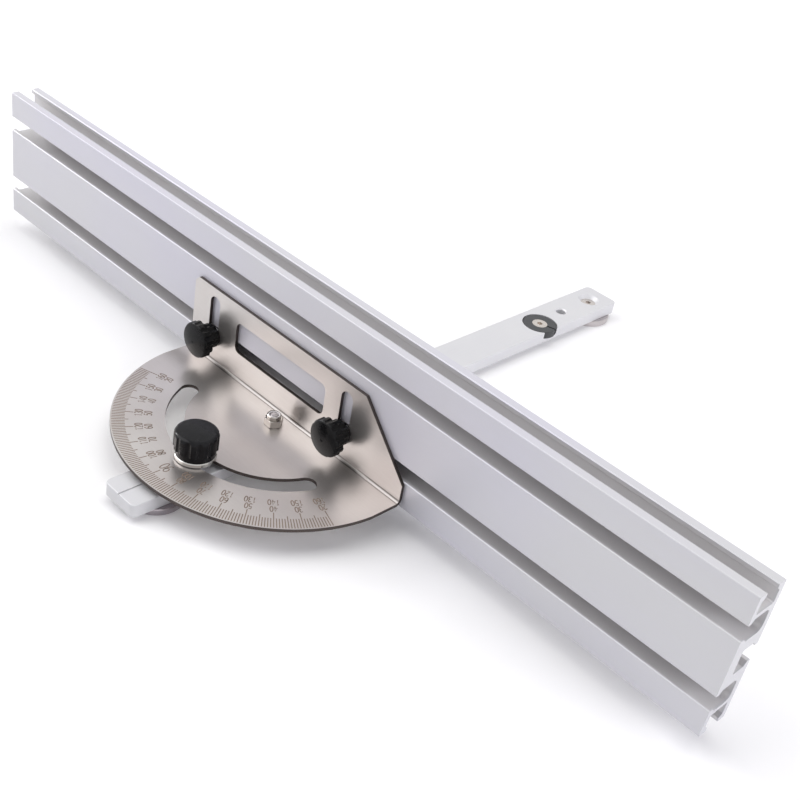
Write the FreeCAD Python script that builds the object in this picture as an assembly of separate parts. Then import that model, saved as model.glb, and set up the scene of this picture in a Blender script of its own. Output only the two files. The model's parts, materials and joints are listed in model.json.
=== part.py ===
"""Miter gauge: a bar that runs in a table slot, a folded protractor head and a slotted fence.

Millimetres, +Z up. The origin is on the pivot axis of the head, in the plane of the bar's
underside. The bar lies along Y, the fence along X, and the operator stands on the -Y side.
"""
import FreeCAD, Part
import math
import os

Vector = FreeCAD.Vector

# Clearances
RUNNING_CLEARANCE = 0.06      # radial, between a turning shaft and its hole
THREAD_CLEARANCE = 0.04       # radial, between a screw and the plain hole that stands for its thread
SEAT_GAP = 0.1                # between flat faces that slide on each other
KNOB_SEAT_GAP = 0.35          # under a knob or its washer, which stands slightly loosened
POCKET_CLEARANCE = 0.25       # radial, round the expansion disc
SLIDER_CLEARANCE = 0.3        # on each side of a bolt in its slot in the fence
FLANGE_SLOT_CLEARANCE = 0.25  # on each side of a bolt in the flange
ARC_SLOT_CLEARANCE = 0.95     # on each side of the stud in the curved slot
WASHER_BORE_CLEARANCE = 0.2   # radial

# Threaded rods and countersunk screws with a hexagon socket
STUD_DIAMETER = 6.0
SCREW_DIAMETER = 4.0
SCREW_HEAD_FLARE = 1.75       # how far the cone widens from the shank
SCREW_HEAD_RIM = 0.3
SCREW_TIP_CHAMFER = 0.6
SCREW_SOCKET = 2.5            # across flats
SCREW_SOCKET_DEPTH = 1.3
DISC_SCREW_DEPTH = 1.6        # head top below the face of the bar
PIVOT_SCREW_DEPTH = 0.2       # head top above the underside of the bar
SCREW_END_SETBACK = 0.3       # screw ends short of the face that it must not pass

# Folded protractor head
SHEET_THICKNESS = 1.5
BEND_INNER_RADIUS = 1.4
PROTRACTOR_RADIUS = 66.5
FLANGE_FRONT_Y = 7.9          # from the pivot axis to the flange's front face
FLANGE_HEIGHT = 36.5          # from the underside of the plate
FLANGE_TOP_CORNER = 2.2
FLANGE_TAPER_LENGTH = 25.7    # slanted right end, along X
FLANGE_END_HEIGHT = 9.7       # short upright end below the slant, from the underside of the plate
ARC_SLOT_RADIUS = 40.35
ARC_SLOT_HALF_SWEEP = 69.0    # degrees each way from square, to the centre of the round end
LEFT_BOLT_INSET = 14.2        # from the flange's left end
RIGHT_BOLT_INSET = 9.5        # from the start of the slant
FENCE_LIFT = 15.0             # travel of the fence up the flange
FENCE_LIFT_SPARE = 0.3        # slot past the travel at each end
WINDOW_TO_BOLT_LEFT = 14.8    # from the left bolt to the window
WINDOW_TO_BOLT_RIGHT = 12.0   # from the window to the right bolt
WINDOW_LOW = 14.0             # from the underside of the plate
WINDOW_HEIGHT = 14.5
WINDOW_CORNER_RADIUS = 3.0

# Miter bar, with its holes placed from the clamp stud and from the far end
BAR_WIDTH = 19.0
BAR_THICKNESS = 6.0
BAR_FAR_REACH = 225.0         # from the pivot axis to the far end
BAR_CORNER_RADIUS = 2.5
BAR_EDGE_RADIUS = 0.35
CLAMP_TO_NEAR_DISC = 18.65
NEAR_DISC_INSET = 17.5        # from the operator's end of the bar
FAR_DISC_INSET = 11.5         # from the far end of the bar
INDEX_GROOVE_WIDTH = 0.7
INDEX_GROOVE_DEPTH = 0.5
INDEX_GROOVE_UNDER_RIM = 2.0  # how far the groove runs in under the head's rim

# Discs under the bar, which hook below the lips of the table slot
T_DISC_DIAMETER = 24.0
T_DISC_THICKNESS = 3.0
T_DISC_EDGE = 0.4
T_DISC_BORE_CHAMFER = 0.3

# Threaded hole near the far end, free for a stop
FAR_DISC_TO_TIP_HOLE = 22.7
TIP_HOLE_DIAMETER = 5.0
TIP_HOLE_CHAMFER = 0.6

# Expansion disc, which takes up the play of the bar in its slot
TIP_HOLE_TO_EXPANSION = 19.4
EXPANSION_DISC_THICKNESS = 3.45
EXPANSION_DISC_SUNK = 0.05    # top of the disc below the bar's face
EXPANSION_DISC_BULGE = 1.2    # past the bar's right side
EXPANSION_DISC_WALL = 3.2     # from the disc to the bar's left side
EXPANSION_SLIT_WIDTH = 0.9
EXPANSION_SLIT_ANGLE = 18.0   # degrees from +X

# Spacers between the bar and the head, and the lock nut on the pivot
SPACER_THICKNESS = 1.7
SPACER_DIAMETER = 12.0
NUT_WALL = 1.5                # from the thread to a flat
NUT_HEX_HEIGHT = 3.2
NUT_BEVEL_ANGLE = 30.0
NUT_COLLAR_WALL = 0.37
NUT_COLLAR_HEIGHT = 1.8
NUT_LIP = 0.35
NUT_INSERT_HEIGHT = 1.3
NUT_INSERT_WALL = 0.55

# Clamp knob, which turns as a nut on a stud fixed in the bar
CLAMP_HEAD_DIAMETER = 18.0
CLAMP_HEAD_LENGTH = 7.8
CLAMP_EDGE_RADIUS = 1.8
CLAMP_CROWN_SLOPE = 4.0       # degrees from level, where the crown meets the round edge
CLAMP_COLLAR_DIAMETER = 15.8
CLAMP_COLLAR_LENGTH = 2.9
CLAMP_WASHER_DIAMETER = 17.0
CLAMP_WASHER_THICKNESS = 1.6
CLAMP_WASHER_EDGE = 0.3

# Fence knobs on their bolts, and the threaded inserts of all knobs
KNOB_HEAD_DIAMETER = 16.0
KNOB_HEAD_LENGTH = 5.0
KNOB_EDGE_RADIUS = 1.3
KNOB_CROWN_SLOPE = 14.0
KNOB_NECK_DIAMETER = 10.8
KNOB_NECK_LENGTH = 5.7
INSERT_WALL = 1.0             # from the thread to the insert's outer face
INSERT_LENGTH = 7.6
BOLT_END_SETBACK = 0.8        # bolt or stud ends inside its insert

# Flutes round the knobs
FLUTE_COUNT = 12
FLUTE_RADIUS = 2.2
FLUTE_DEPTH = 0.5

# Fence extrusion
FENCE_LENGTH = 424.0
FENCE_THICKNESS = 15.0
FENCE_LEFT_REACH = 217.6      # from the pivot axis to the left end
FENCE_OVER_BAR = 0.5          # gap between the bar and the fence's lower edge
FENCE_EDGE_RADIUS = 0.4
FRONT_SLOT_INSET = 15.45      # centre of a front slot from its nearest edge
FRONT_SLOT_SPACING = 31.6     # between the two front slots
FRONT_SLOT_CAVITY = 9.8
FRONT_SLOT_FLOOR = 2.8        # metal left behind a front slot
FRONT_SLOT_ROUND = 2.6
REAR_SLOT_MOUTH = 7.2
REAR_SLOT_CAVITY = 11.0
REAR_SLOT_FLOOR = 5.5         # metal left in front of the rear slot
EDGE_SLOT_MOUTH = 7.0
EDGE_SLOT_SIDE = 2.4          # metal left on each side of an edge slot's cavity
EDGE_SLOT_FLOOR = 1.85        # metal left between an edge slot and a front slot
PLAIN_SLOT_ROUND = 0.8
LIP_EDGE = 1.8                # thickness of a slot's lip at its mouth
LIP_ROOT = 3.2                # and where it meets the cavity's wall
MOUTH_CHAMFER = 0.3           # along both edges of each slot's mouth

# Bolts in the fence's lower front slot
BOLT_HEAD_LENGTH = 14.0
BOLT_HEAD_THICKNESS = 3.0     # behind the lips

# Levels that follow from the sizes above
BAR_TOP = BAR_THICKNESS
PLATE_BOTTOM = BAR_TOP + SPACER_THICKNESS + SEAT_GAP
PLATE_TOP = PLATE_BOTTOM + SHEET_THICKNESS
FLANGE_TOP_Z = PLATE_BOTTOM + FLANGE_HEIGHT
FLANGE_TAPER_Z = PLATE_BOTTOM + FLANGE_END_HEIGHT
WINDOW_LOW_Z = PLATE_BOTTOM + WINDOW_LOW
FENCE_BOTTOM = BAR_TOP + FENCE_OVER_BAR
FENCE_HEIGHT = 2 * FRONT_SLOT_INSET + FRONT_SLOT_SPACING
BOLT_Z = FENCE_BOTTOM + FRONT_SLOT_INSET
CLAMP_WASHER_BOTTOM = PLATE_TOP + KNOB_SEAT_GAP
CLAMP_KNOB_BOTTOM = CLAMP_WASHER_BOTTOM + CLAMP_WASHER_THICKNESS

# Places along Y that follow
FLANGE_BACK_Y = FLANGE_FRONT_Y + SHEET_THICKNESS
FENCE_FRONT_Y = FLANGE_BACK_Y + SEAT_GAP
KNOB_SEAT_Y = FLANGE_FRONT_Y - KNOB_SEAT_GAP
BEND_Y = FLANGE_FRONT_Y - BEND_INNER_RADIUS
CLAMP_Y = -ARC_SLOT_RADIUS
NEAR_DISC_Y = CLAMP_Y - CLAMP_TO_NEAR_DISC
BAR_NEAR_REACH = NEAR_DISC_INSET - NEAR_DISC_Y
FAR_DISC_Y = BAR_FAR_REACH - FAR_DISC_INSET
TIP_HOLE_Y = FAR_DISC_Y - FAR_DISC_TO_TIP_HOLE
EXPANSION_DISC_Y = TIP_HOLE_Y - TIP_HOLE_TO_EXPANSION

# Places along X that follow: the flange ends where the rim meets the bend
HEAD_HALF_WIDTH = math.sqrt(PROTRACTOR_RADIUS ** 2 - BEND_Y ** 2)
FLANGE_TAPER_X = HEAD_HALF_WIDTH - FLANGE_TAPER_LENGTH
LEFT_BOLT_X = LEFT_BOLT_INSET - HEAD_HALF_WIDTH
RIGHT_BOLT_X = FLANGE_TAPER_X - RIGHT_BOLT_INSET
WINDOW_LEFT_X = LEFT_BOLT_X + WINDOW_TO_BOLT_LEFT
WINDOW_RIGHT_X = RIGHT_BOLT_X - WINDOW_TO_BOLT_RIGHT
EXPANSION_DISC_RADIUS = (BAR_WIDTH + EXPANSION_DISC_BULGE - EXPANSION_DISC_WALL) / 2
EXPANSION_DISC_X = BAR_WIDTH / 2 + EXPANSION_DISC_BULGE - EXPANSION_DISC_RADIUS

# Radii and slot sizes that follow
SCREW_RADIUS = SCREW_DIAMETER / 2
SCREW_HEAD_RADIUS = SCREW_RADIUS + SCREW_HEAD_FLARE
SCREW_HEAD_HEIGHT = SCREW_HEAD_RIM + SCREW_HEAD_FLARE
TAPPED_RADIUS = SCREW_RADIUS + THREAD_CLEARANCE
STUD_RADIUS = STUD_DIAMETER / 2
INSERT_RADIUS = STUD_RADIUS + INSERT_WALL
ARC_SLOT_HALF_WIDTH = STUD_RADIUS + ARC_SLOT_CLEARANCE
FLANGE_SLOT_RADIUS = STUD_RADIUS + FLANGE_SLOT_CLEARANCE
FRONT_SLOT_MOUTH = STUD_DIAMETER + 2 * SLIDER_CLEARANCE
FRONT_SLOT_DEPTH = FENCE_THICKNESS - FRONT_SLOT_FLOOR
REAR_SLOT_DEPTH = FENCE_THICKNESS - REAR_SLOT_FLOOR
EDGE_SLOT_CAVITY = FENCE_THICKNESS - 2 * EDGE_SLOT_SIDE
EDGE_SLOT_DEPTH = FRONT_SLOT_INSET - FRONT_SLOT_CAVITY / 2 - EDGE_SLOT_FLOOR

THROUGH = 5.0                 # how far a cutter runs past the face that it opens
SAME = 1e-6                   # lengths closer than this are equal
Z_AXIS = Vector(0, 0, 1)
X_AXIS = Vector(1, 0, 0)
Y_AXIS = Vector(0, 1, 0)


def rod(radius, low, high, x=0.0, y=0.0):
    """A plain cylinder along Z between two levels."""
    return Part.makeCylinder(radius, high - low, Vector(x, y, low), Z_AXIS)


def face_of(points):
    """A flat face with straight edges through the given points."""
    return Part.Face(Part.makePolygon(points + points[:1]))


def hexagon(across_flats, low, high):
    """A hexagonal prism along Z, with two flats facing +Y and -Y."""
    corner = across_flats / math.sqrt(3)
    turns = [math.radians(60 * i) for i in range(6)]
    points = [Vector(corner * math.cos(a), corner * math.sin(a), low) for a in turns]
    return face_of(points).extrude(Vector(0, 0, high - low))


def turned(outline):
    """A solid of revolution about Z from (radius, level) points that start and end on the axis."""
    points = [Vector(r, 0, z) for r, z in outline]
    return face_of(points).revolve(Vector(0, 0, 0), Z_AXIS, 360)


def screw_seat(face, depth, reach):
    """Cutter for a countersunk screw that enters downwards from a face.

    The head's top lies depth below the face, and the shank's hole goes down to reach.
    """
    head = SCREW_HEAD_RADIUS + THREAD_CLEARANCE
    rim = face - depth - SCREW_HEAD_RIM
    outline = [
        (0, reach),
        (TAPPED_RADIUS, reach),
        (TAPPED_RADIUS, rim - SCREW_HEAD_FLARE),
        (head, rim),
        (head, face - depth),
        (head + depth + THROUGH, face + THROUGH),
        (0, face + THROUGH),
    ]
    return turned(outline)


def countersunk_screw(top, end):
    """A countersunk screw, head up, from the head's flat top down to the shank's end."""
    outline = [
        (0, end),
        (SCREW_RADIUS - SCREW_TIP_CHAMFER, end),
        (SCREW_RADIUS, end + SCREW_TIP_CHAMFER),
        (SCREW_RADIUS, top - SCREW_HEAD_HEIGHT),
        (SCREW_HEAD_RADIUS, top - SCREW_HEAD_RIM),
        (SCREW_HEAD_RADIUS, top),
        (0, top),
    ]
    socket = hexagon(SCREW_SOCKET, top - SCREW_SOCKET_DEPTH, top + THROUGH)
    return turned(outline).cut(socket)


def upside_down(shape, level):
    """The shape turned over about the X axis through the given level."""
    flipped = shape.copy()
    flipped.rotate(Vector(0, 0, level), X_AXIS, 180)
    return flipped


def moved(shape, x=0.0, y=0.0, z=0.0):
    """A copy of the shape at another place."""
    placed = shape.copy()
    placed.translate(Vector(x, y, z))
    return placed


def facing_operator(shape):
    """The shape with its +Z axis turned to point at the operator, along -Y."""
    placed = shape.copy()
    placed.rotate(Vector(0, 0, 0), X_AXIS, 90)
    return placed


def washer(bore_radius, outer_radius, low, high):
    """A flat ring along Z."""
    return rod(outer_radius, low, high).cut(rod(bore_radius, low - THROUGH, high + THROUGH))


def miter_bar():
    """The flat bar with its index groove, screw seats, tapped hole and the disc's open pocket."""
    length = BAR_NEAR_REACH + BAR_FAR_REACH
    bar = Part.makeBox(BAR_WIDTH, length, BAR_THICKNESS, Vector(-BAR_WIDTH / 2, -BAR_NEAR_REACH, 0))
    uprights = [e for e in bar.Edges if abs(e.BoundBox.ZLength - BAR_THICKNESS) < SAME]
    bar = bar.makeFillet(BAR_CORNER_RADIUS, uprights)
    outline = [e for e in bar.Edges if e.BoundBox.ZLength < SAME]
    bar = bar.makeFillet(BAR_EDGE_RADIUS, outline)

    groove_length = BAR_NEAR_REACH - PROTRACTOR_RADIUS + INDEX_GROOVE_UNDER_RIM
    groove = Part.makeBox(INDEX_GROOVE_WIDTH, groove_length + THROUGH, INDEX_GROOVE_DEPTH + THROUGH)
    groove_floor = BAR_TOP - INDEX_GROOVE_DEPTH
    bar = bar.cut(moved(groove, -INDEX_GROOVE_WIDTH / 2, -BAR_NEAR_REACH - THROUGH, groove_floor))

    disc_seat = screw_seat(BAR_TOP, DISC_SCREW_DEPTH, -THROUGH)
    for y in (NEAR_DISC_Y, FAR_DISC_Y):
        bar = bar.cut(moved(disc_seat, y=y))

    pivot_seat = screw_seat(BAR_TOP, PIVOT_SCREW_DEPTH, -THROUGH)
    bar = bar.cut(upside_down(pivot_seat, BAR_TOP / 2))
    bar = bar.cut(rod(STUD_RADIUS + THREAD_CLEARANCE, -THROUGH, BAR_TOP + THROUGH, y=CLAMP_Y))

    pocket = EXPANSION_DISC_RADIUS + POCKET_CLEARANCE
    disc_place = {"x": EXPANSION_DISC_X, "y": EXPANSION_DISC_Y}
    bar = bar.cut(rod(pocket, expansion_pocket_floor(), BAR_TOP + THROUGH, **disc_place))
    bar = bar.cut(rod(SCREW_RADIUS + RUNNING_CLEARANCE, -THROUGH, BAR_TOP, **disc_place))

    hole = TIP_HOLE_DIAMETER / 2
    mouth = hole + TIP_HOLE_CHAMFER
    tapped = [
        (0, 0),
        (mouth, 0),
        (hole, TIP_HOLE_CHAMFER),
        (hole, BAR_TOP - TIP_HOLE_CHAMFER),
        (mouth, BAR_TOP),
        (0, BAR_TOP),
    ]
    return bar.cut(moved(turned(tapped), y=TIP_HOLE_Y))


def t_disc():
    """A disc under the bar, tapped for its screw, with both edges broken."""
    radius = T_DISC_DIAMETER / 2
    low = -T_DISC_THICKNESS
    outline = [
        (0, low),
        (radius - T_DISC_EDGE, low),
        (radius, low + T_DISC_EDGE),
        (radius, -T_DISC_EDGE),
        (radius - T_DISC_EDGE, 0),
        (0, 0),
    ]
    bore = [
        (0, low),
        (TAPPED_RADIUS + T_DISC_BORE_CHAMFER, low),
        (TAPPED_RADIUS, low + T_DISC_BORE_CHAMFER),
        (TAPPED_RADIUS, 0),
        (0, 0),
    ]
    return turned(outline).cut(turned(bore))


def t_disc_screw():
    """The screw that holds a disc, from below the bar's face to just inside the disc."""
    return countersunk_screw(BAR_TOP - DISC_SCREW_DEPTH, SCREW_END_SETBACK - T_DISC_THICKNESS)


def expansion_pocket_floor():
    """The level of the floor that the split disc lies on."""
    return BAR_TOP - EXPANSION_DISC_SUNK - EXPANSION_DISC_THICKNESS


def expansion_disc():
    """The split disc: its screw's cone spreads it against the slot's wall."""
    floor = expansion_pocket_floor()
    top = floor + EXPANSION_DISC_THICKNESS
    disc = rod(EXPANSION_DISC_RADIUS, floor, top)
    rim = [e for e in disc.Edges if abs(e.BoundBox.ZMin - top) < SAME and e.BoundBox.ZLength < SAME]
    disc = disc.makeChamfer(T_DISC_EDGE, rim)
    hole = SCREW_RADIUS + RUNNING_CLEARANCE
    head = SCREW_HEAD_RADIUS + RUNNING_CLEARANCE
    seat = [
        (0, floor - THROUGH),
        (hole, floor - THROUGH),
        (hole, top - SCREW_HEAD_HEIGHT),
        (head, top - SCREW_HEAD_RIM),
        (head, top + THROUGH),
        (0, top + THROUGH),
    ]
    disc = disc.cut(turned(seat))
    slit = Part.makeBox(2 * EXPANSION_DISC_RADIUS, EXPANSION_SLIT_WIDTH, EXPANSION_DISC_THICKNESS + THROUGH)
    slit.translate(Vector(0, -EXPANSION_SLIT_WIDTH / 2, floor - THROUGH / 2))
    slit.rotate(Vector(0, 0, 0), Z_AXIS, EXPANSION_SLIT_ANGLE)
    return moved(disc.cut(slit), EXPANSION_DISC_X, EXPANSION_DISC_Y)


def expansion_screw():
    """The screw in the split disc, through the pocket's floor."""
    screw = countersunk_screw(BAR_TOP - EXPANSION_DISC_SUNK, SCREW_END_SETBACK)
    return moved(screw, EXPANSION_DISC_X, EXPANSION_DISC_Y)


def pivot_screw():
    """The pivot: its head is sunk in the bar's underside and its end stands in the lock nut."""
    end = PLATE_TOP + SEAT_GAP + NUT_HEX_HEIGHT + NUT_COLLAR_HEIGHT - SCREW_END_SETBACK
    upright = countersunk_screw(BAR_TOP - PIVOT_SCREW_DEPTH, BAR_TOP - end)
    return upside_down(upright, BAR_TOP / 2)


def spacer(bore_radius, y):
    """A ring on the bar that carries the head's plate level above it."""
    return moved(washer(bore_radius, SPACER_DIAMETER / 2, BAR_TOP, BAR_TOP + SPACER_THICKNESS), y=y)


def pivot_nut():
    """The lock nut: a hexagon with bevelled corners and a round collar for its nylon ring."""
    base = PLATE_TOP + SEAT_GAP
    shoulder = base + NUT_HEX_HEIGHT
    top = shoulder + NUT_COLLAR_HEIGHT
    flat = SCREW_RADIUS + NUT_WALL
    corner = flat * 2 / math.sqrt(3)
    drop = (corner - flat) * math.tan(math.radians(NUT_BEVEL_ANGLE))
    bevel = [
        (0, base),
        (flat, base),
        (corner, base + drop),
        (corner, shoulder - drop),
        (flat, shoulder),
        (0, shoulder),
    ]
    ring_seat = TAPPED_RADIUS + NUT_INSERT_WALL + THREAD_CLEARANCE
    ring_low = top - NUT_LIP - NUT_INSERT_HEIGHT
    collar = ring_seat + NUT_COLLAR_WALL
    collar_outline = [
        (0, shoulder - drop),
        (collar, shoulder - drop),
        (collar, top - NUT_LIP),
        (collar - NUT_LIP, top),
        (0, top),
    ]
    bore = [
        (0, base),
        (TAPPED_RADIUS, base),
        (TAPPED_RADIUS, ring_low),
        (ring_seat, ring_low),
        (ring_seat, top),
        (0, top),
    ]
    nut = hexagon(2 * flat, base, shoulder).common(turned(bevel))
    return nut.fuse(turned(collar_outline)).cut(turned(bore)).removeSplitter()


def pivot_nut_ring():
    """The nylon ring in the nut's collar that grips the screw."""
    top = PLATE_TOP + SEAT_GAP + NUT_HEX_HEIGHT + NUT_COLLAR_HEIGHT - NUT_LIP
    return washer(TAPPED_RADIUS, TAPPED_RADIUS + NUT_INSERT_WALL, top - NUT_INSERT_HEIGHT, top)


def arc_slot_cutter():
    """The curved slot through the protractor plate, with round ends."""
    half = ARC_SLOT_HALF_WIDTH
    low, high = PLATE_BOTTOM - THROUGH, PLATE_TOP + THROUGH
    ring = rod(ARC_SLOT_RADIUS + half, low, high).cut(rod(ARC_SLOT_RADIUS - half, low, high))
    sweep = math.radians(ARC_SLOT_HALF_SWEEP)
    past_rim = PROTRACTOR_RADIUS / math.cos(sweep)
    sides = [Vector(s * past_rim * math.sin(sweep), -past_rim * math.cos(sweep), low) for s in (-1, 1)]
    wedge = face_of([Vector(0, 0, low), sides[0], Vector(0, -past_rim, low), sides[1]])
    cutter = ring.common(wedge.extrude(Vector(0, 0, high - low)))
    for side in (-1, 1):
        x = side * ARC_SLOT_RADIUS * math.sin(sweep)
        y = -ARC_SLOT_RADIUS * math.cos(sweep)
        cutter = cutter.fuse(rod(half, low, high, x, y))
    return cutter


def flange_slot_cutter(x):
    """An upright slot through the flange, with round ends, for a fence bolt and its lift."""
    radius = FLANGE_SLOT_RADIUS
    depth = SHEET_THICKNESS + 2 * THROUGH
    front = FLANGE_FRONT_Y - THROUGH
    low = BOLT_Z - FENCE_LIFT_SPARE
    high = BOLT_Z + FENCE_LIFT + FENCE_LIFT_SPARE
    cutter = Part.makeBox(2 * radius, depth, high - low, Vector(x - radius, front, low))
    for z in (low, high):
        cutter = cutter.fuse(Part.makeCylinder(radius, depth, Vector(x, front, z), Y_AXIS))
    return cutter


def window_cutter():
    """The window through the flange, with rounded corners."""
    width = WINDOW_RIGHT_X - WINDOW_LEFT_X
    depth = SHEET_THICKNESS + 2 * THROUGH
    corner = Vector(WINDOW_LEFT_X, FLANGE_FRONT_Y - THROUGH, WINDOW_LOW_Z)
    cutter = Part.makeBox(width, depth, WINDOW_HEIGHT, corner)
    edges = [e for e in cutter.Edges if abs(e.BoundBox.YLength - depth) < SAME]
    return cutter.makeFillet(WINDOW_CORNER_RADIUS, edges)


def folded_strip():
    """The sheet's L-shaped section, plate and flange joined by the bend, drawn out along X."""
    bend_z = PLATE_TOP + BEND_INNER_RADIUS
    near = -PROTRACTOR_RADIUS - THROUGH
    diagonal = math.sqrt(0.5)

    def at(y, z):
        return Vector(-HEAD_HALF_WIDTH, y, z)

    def quarter(radius):
        middle = at(BEND_Y + radius * diagonal, bend_z - radius * diagonal)
        return Part.Arc(at(BEND_Y, bend_z - radius), middle, at(BEND_Y + radius, bend_z)).toShape()

    edges = [
        Part.makeLine(at(near, PLATE_BOTTOM), at(BEND_Y, PLATE_BOTTOM)),
        quarter(BEND_INNER_RADIUS + SHEET_THICKNESS),
        Part.makeLine(at(FLANGE_BACK_Y, bend_z), at(FLANGE_BACK_Y, FLANGE_TOP_Z)),
        Part.makeLine(at(FLANGE_BACK_Y, FLANGE_TOP_Z), at(FLANGE_FRONT_Y, FLANGE_TOP_Z)),
        Part.makeLine(at(FLANGE_FRONT_Y, FLANGE_TOP_Z), at(FLANGE_FRONT_Y, bend_z)),
        quarter(BEND_INNER_RADIUS),
        Part.makeLine(at(BEND_Y, PLATE_TOP), at(near, PLATE_TOP)),
        Part.makeLine(at(near, PLATE_TOP), at(near, PLATE_BOTTOM)),
    ]
    section = Part.Face(Part.Wire(Part.sortEdges(edges)[0]))
    return section.extrude(Vector(2 * HEAD_HALF_WIDTH, 0, 0))


def protractor_blank():
    """The half-round plate's outline as a tall block, which leaves the bend and flange whole."""
    low, high = PLATE_BOTTOM - THROUGH, FLANGE_TOP_Z + THROUGH
    width = 2 * HEAD_HALF_WIDTH
    corner = Vector(-HEAD_HALF_WIDTH, BEND_Y, low)
    behind = Part.makeBox(width, FENCE_FRONT_Y - BEND_Y + THROUGH, high - low, corner)
    return rod(PROTRACTOR_RADIUS, low, high).fuse(behind)


def flange_blank():
    """The flange's outline with its slanted right end, run forwards over the whole plate."""
    low = PLATE_BOTTOM - THROUGH
    front = -PROTRACTOR_RADIUS - THROUGH
    outline = [
        Vector(-HEAD_HALF_WIDTH, front, low),
        Vector(HEAD_HALF_WIDTH, front, low),
        Vector(HEAD_HALF_WIDTH, front, FLANGE_TAPER_Z),
        Vector(FLANGE_TAPER_X, front, FLANGE_TOP_Z),
        Vector(FLANGE_TOP_CORNER - HEAD_HALF_WIDTH, front, FLANGE_TOP_Z),
        Vector(-HEAD_HALF_WIDTH, front, FLANGE_TOP_Z - FLANGE_TOP_CORNER),
    ]
    return face_of(outline).extrude(Vector(0, FLANGE_BACK_Y + THROUGH - front, 0))


def protractor_head():
    """One folded sheet: the half-round scale plate and the flange that the fence bolts to."""
    head = folded_strip().common(protractor_blank()).common(flange_blank())
    head = head.cut(rod(SCREW_RADIUS + RUNNING_CLEARANCE, PLATE_BOTTOM - THROUGH, PLATE_TOP + THROUGH))
    head = head.cut(arc_slot_cutter())
    head = head.cut(window_cutter())
    for x in (LEFT_BOLT_X, RIGHT_BOLT_X):
        head = head.cut(flange_slot_cutter(x))
    return head.removeSplitter()


def fluted(body, radius, low, high):
    """The body with shallow flutes cut along Z into a round wall of the given radius."""
    centre = radius + FLUTE_RADIUS - FLUTE_DEPTH
    for i in range(FLUTE_COUNT):
        turn = 2 * math.pi * i / FLUTE_COUNT
        body = body.cut(rod(FLUTE_RADIUS, low, high, centre * math.cos(turn), centre * math.sin(turn)))
    return body


def arc_between(centre_r, centre_z, radius, start, end):
    """An arc in the XZ plane about (centre_r, centre_z), between two tilts from upright in radians."""
    tilts = (start, (start + end) / 2, end)
    points = [Vector(centre_r + radius * math.sin(t), 0, centre_z + radius * math.cos(t)) for t in tilts]
    return Part.Arc(*points).toShape()


def fluted_knob(head_radius, head_length, edge_radius, crown_slope, neck_radius, neck_length):
    """A moulded knob that stands on Z = 0: a round neck below a wider fluted head with a crowned top.

    The crown is a shallow ball face that runs into the round edge without a crease.
    """
    top = neck_length + head_length
    slope = math.radians(crown_slope)
    edge_centre_r = head_radius - edge_radius
    crown_radius = edge_centre_r / math.sin(slope) + edge_radius
    crown_centre = top - crown_radius
    edge_centre_z = crown_centre + (crown_radius - edge_radius) * math.cos(slope)
    corners = [
        (0, top),
        (0, 0),
        (neck_radius, 0),
        (neck_radius, neck_length),
        (head_radius, neck_length),
        (head_radius, edge_centre_z),
    ]
    points = [Vector(r, 0, z) for r, z in corners]
    edges = [Part.makeLine(a, b) for a, b in zip(points, points[1:])]
    edges.append(arc_between(edge_centre_r, edge_centre_z, edge_radius, math.pi / 2, slope))
    edges.append(arc_between(0, crown_centre, crown_radius, slope, 0))
    section = Part.Face(Part.Wire(Part.sortEdges(edges)[0]))
    knob = section.revolve(Vector(0, 0, 0), Z_AXIS, 360)
    return fluted(knob, head_radius, neck_length, top + THROUGH)


def with_insert_hole(knob):
    """The knob with the blind hole for its insert."""
    return knob.cut(rod(INSERT_RADIUS + THREAD_CLEARANCE, -THROUGH, INSERT_LENGTH))


def knob_insert():
    """The threaded insert moulded into a knob that stands on Z = 0."""
    return washer(STUD_RADIUS + RUNNING_CLEARANCE, INSERT_RADIUS, 0, INSERT_LENGTH)


def clamp_knob():
    """The clamp's knob, which stands on its washer."""
    knob = fluted_knob(CLAMP_HEAD_DIAMETER / 2, CLAMP_HEAD_LENGTH, CLAMP_EDGE_RADIUS, CLAMP_CROWN_SLOPE,
                       CLAMP_COLLAR_DIAMETER / 2, CLAMP_COLLAR_LENGTH)
    return moved(with_insert_hole(knob), y=CLAMP_Y, z=CLAMP_KNOB_BOTTOM)


def clamp_knob_insert():
    """The insert in the clamp's knob."""
    return moved(knob_insert(), y=CLAMP_Y, z=CLAMP_KNOB_BOTTOM)


def clamp_stud():
    """The stud screwed fast into the bar, up through the curved slot and the washer into the knob."""
    top = CLAMP_KNOB_BOTTOM + INSERT_LENGTH - BOLT_END_SETBACK
    return rod(STUD_RADIUS, SCREW_END_SETBACK, top, y=CLAMP_Y)


def clamp_washer():
    """The washer that the clamp's knob presses on the plate, with its upper edge broken."""
    bore = STUD_RADIUS + WASHER_BORE_CLEARANCE
    ring = washer(bore, CLAMP_WASHER_DIAMETER / 2, CLAMP_WASHER_BOTTOM, CLAMP_KNOB_BOTTOM)
    rim = [e for e in ring.Edges
           if abs(e.BoundBox.ZMin - CLAMP_KNOB_BOTTOM) < SAME and e.BoundBox.XMax > STUD_DIAMETER]
    return moved(ring.makeChamfer(CLAMP_WASHER_EDGE, rim), y=CLAMP_Y)


def fence_knob(x):
    """A fence knob with a fluted neck too, seated on the flange at one of the bolts."""
    neck_radius = KNOB_NECK_DIAMETER / 2
    knob = fluted_knob(KNOB_HEAD_DIAMETER / 2, KNOB_HEAD_LENGTH, KNOB_EDGE_RADIUS, KNOB_CROWN_SLOPE,
                       neck_radius, KNOB_NECK_LENGTH)
    knob = fluted(knob, neck_radius, -THROUGH, KNOB_NECK_LENGTH)
    return moved(facing_operator(with_insert_hole(knob)), x, KNOB_SEAT_Y, BOLT_Z)


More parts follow.
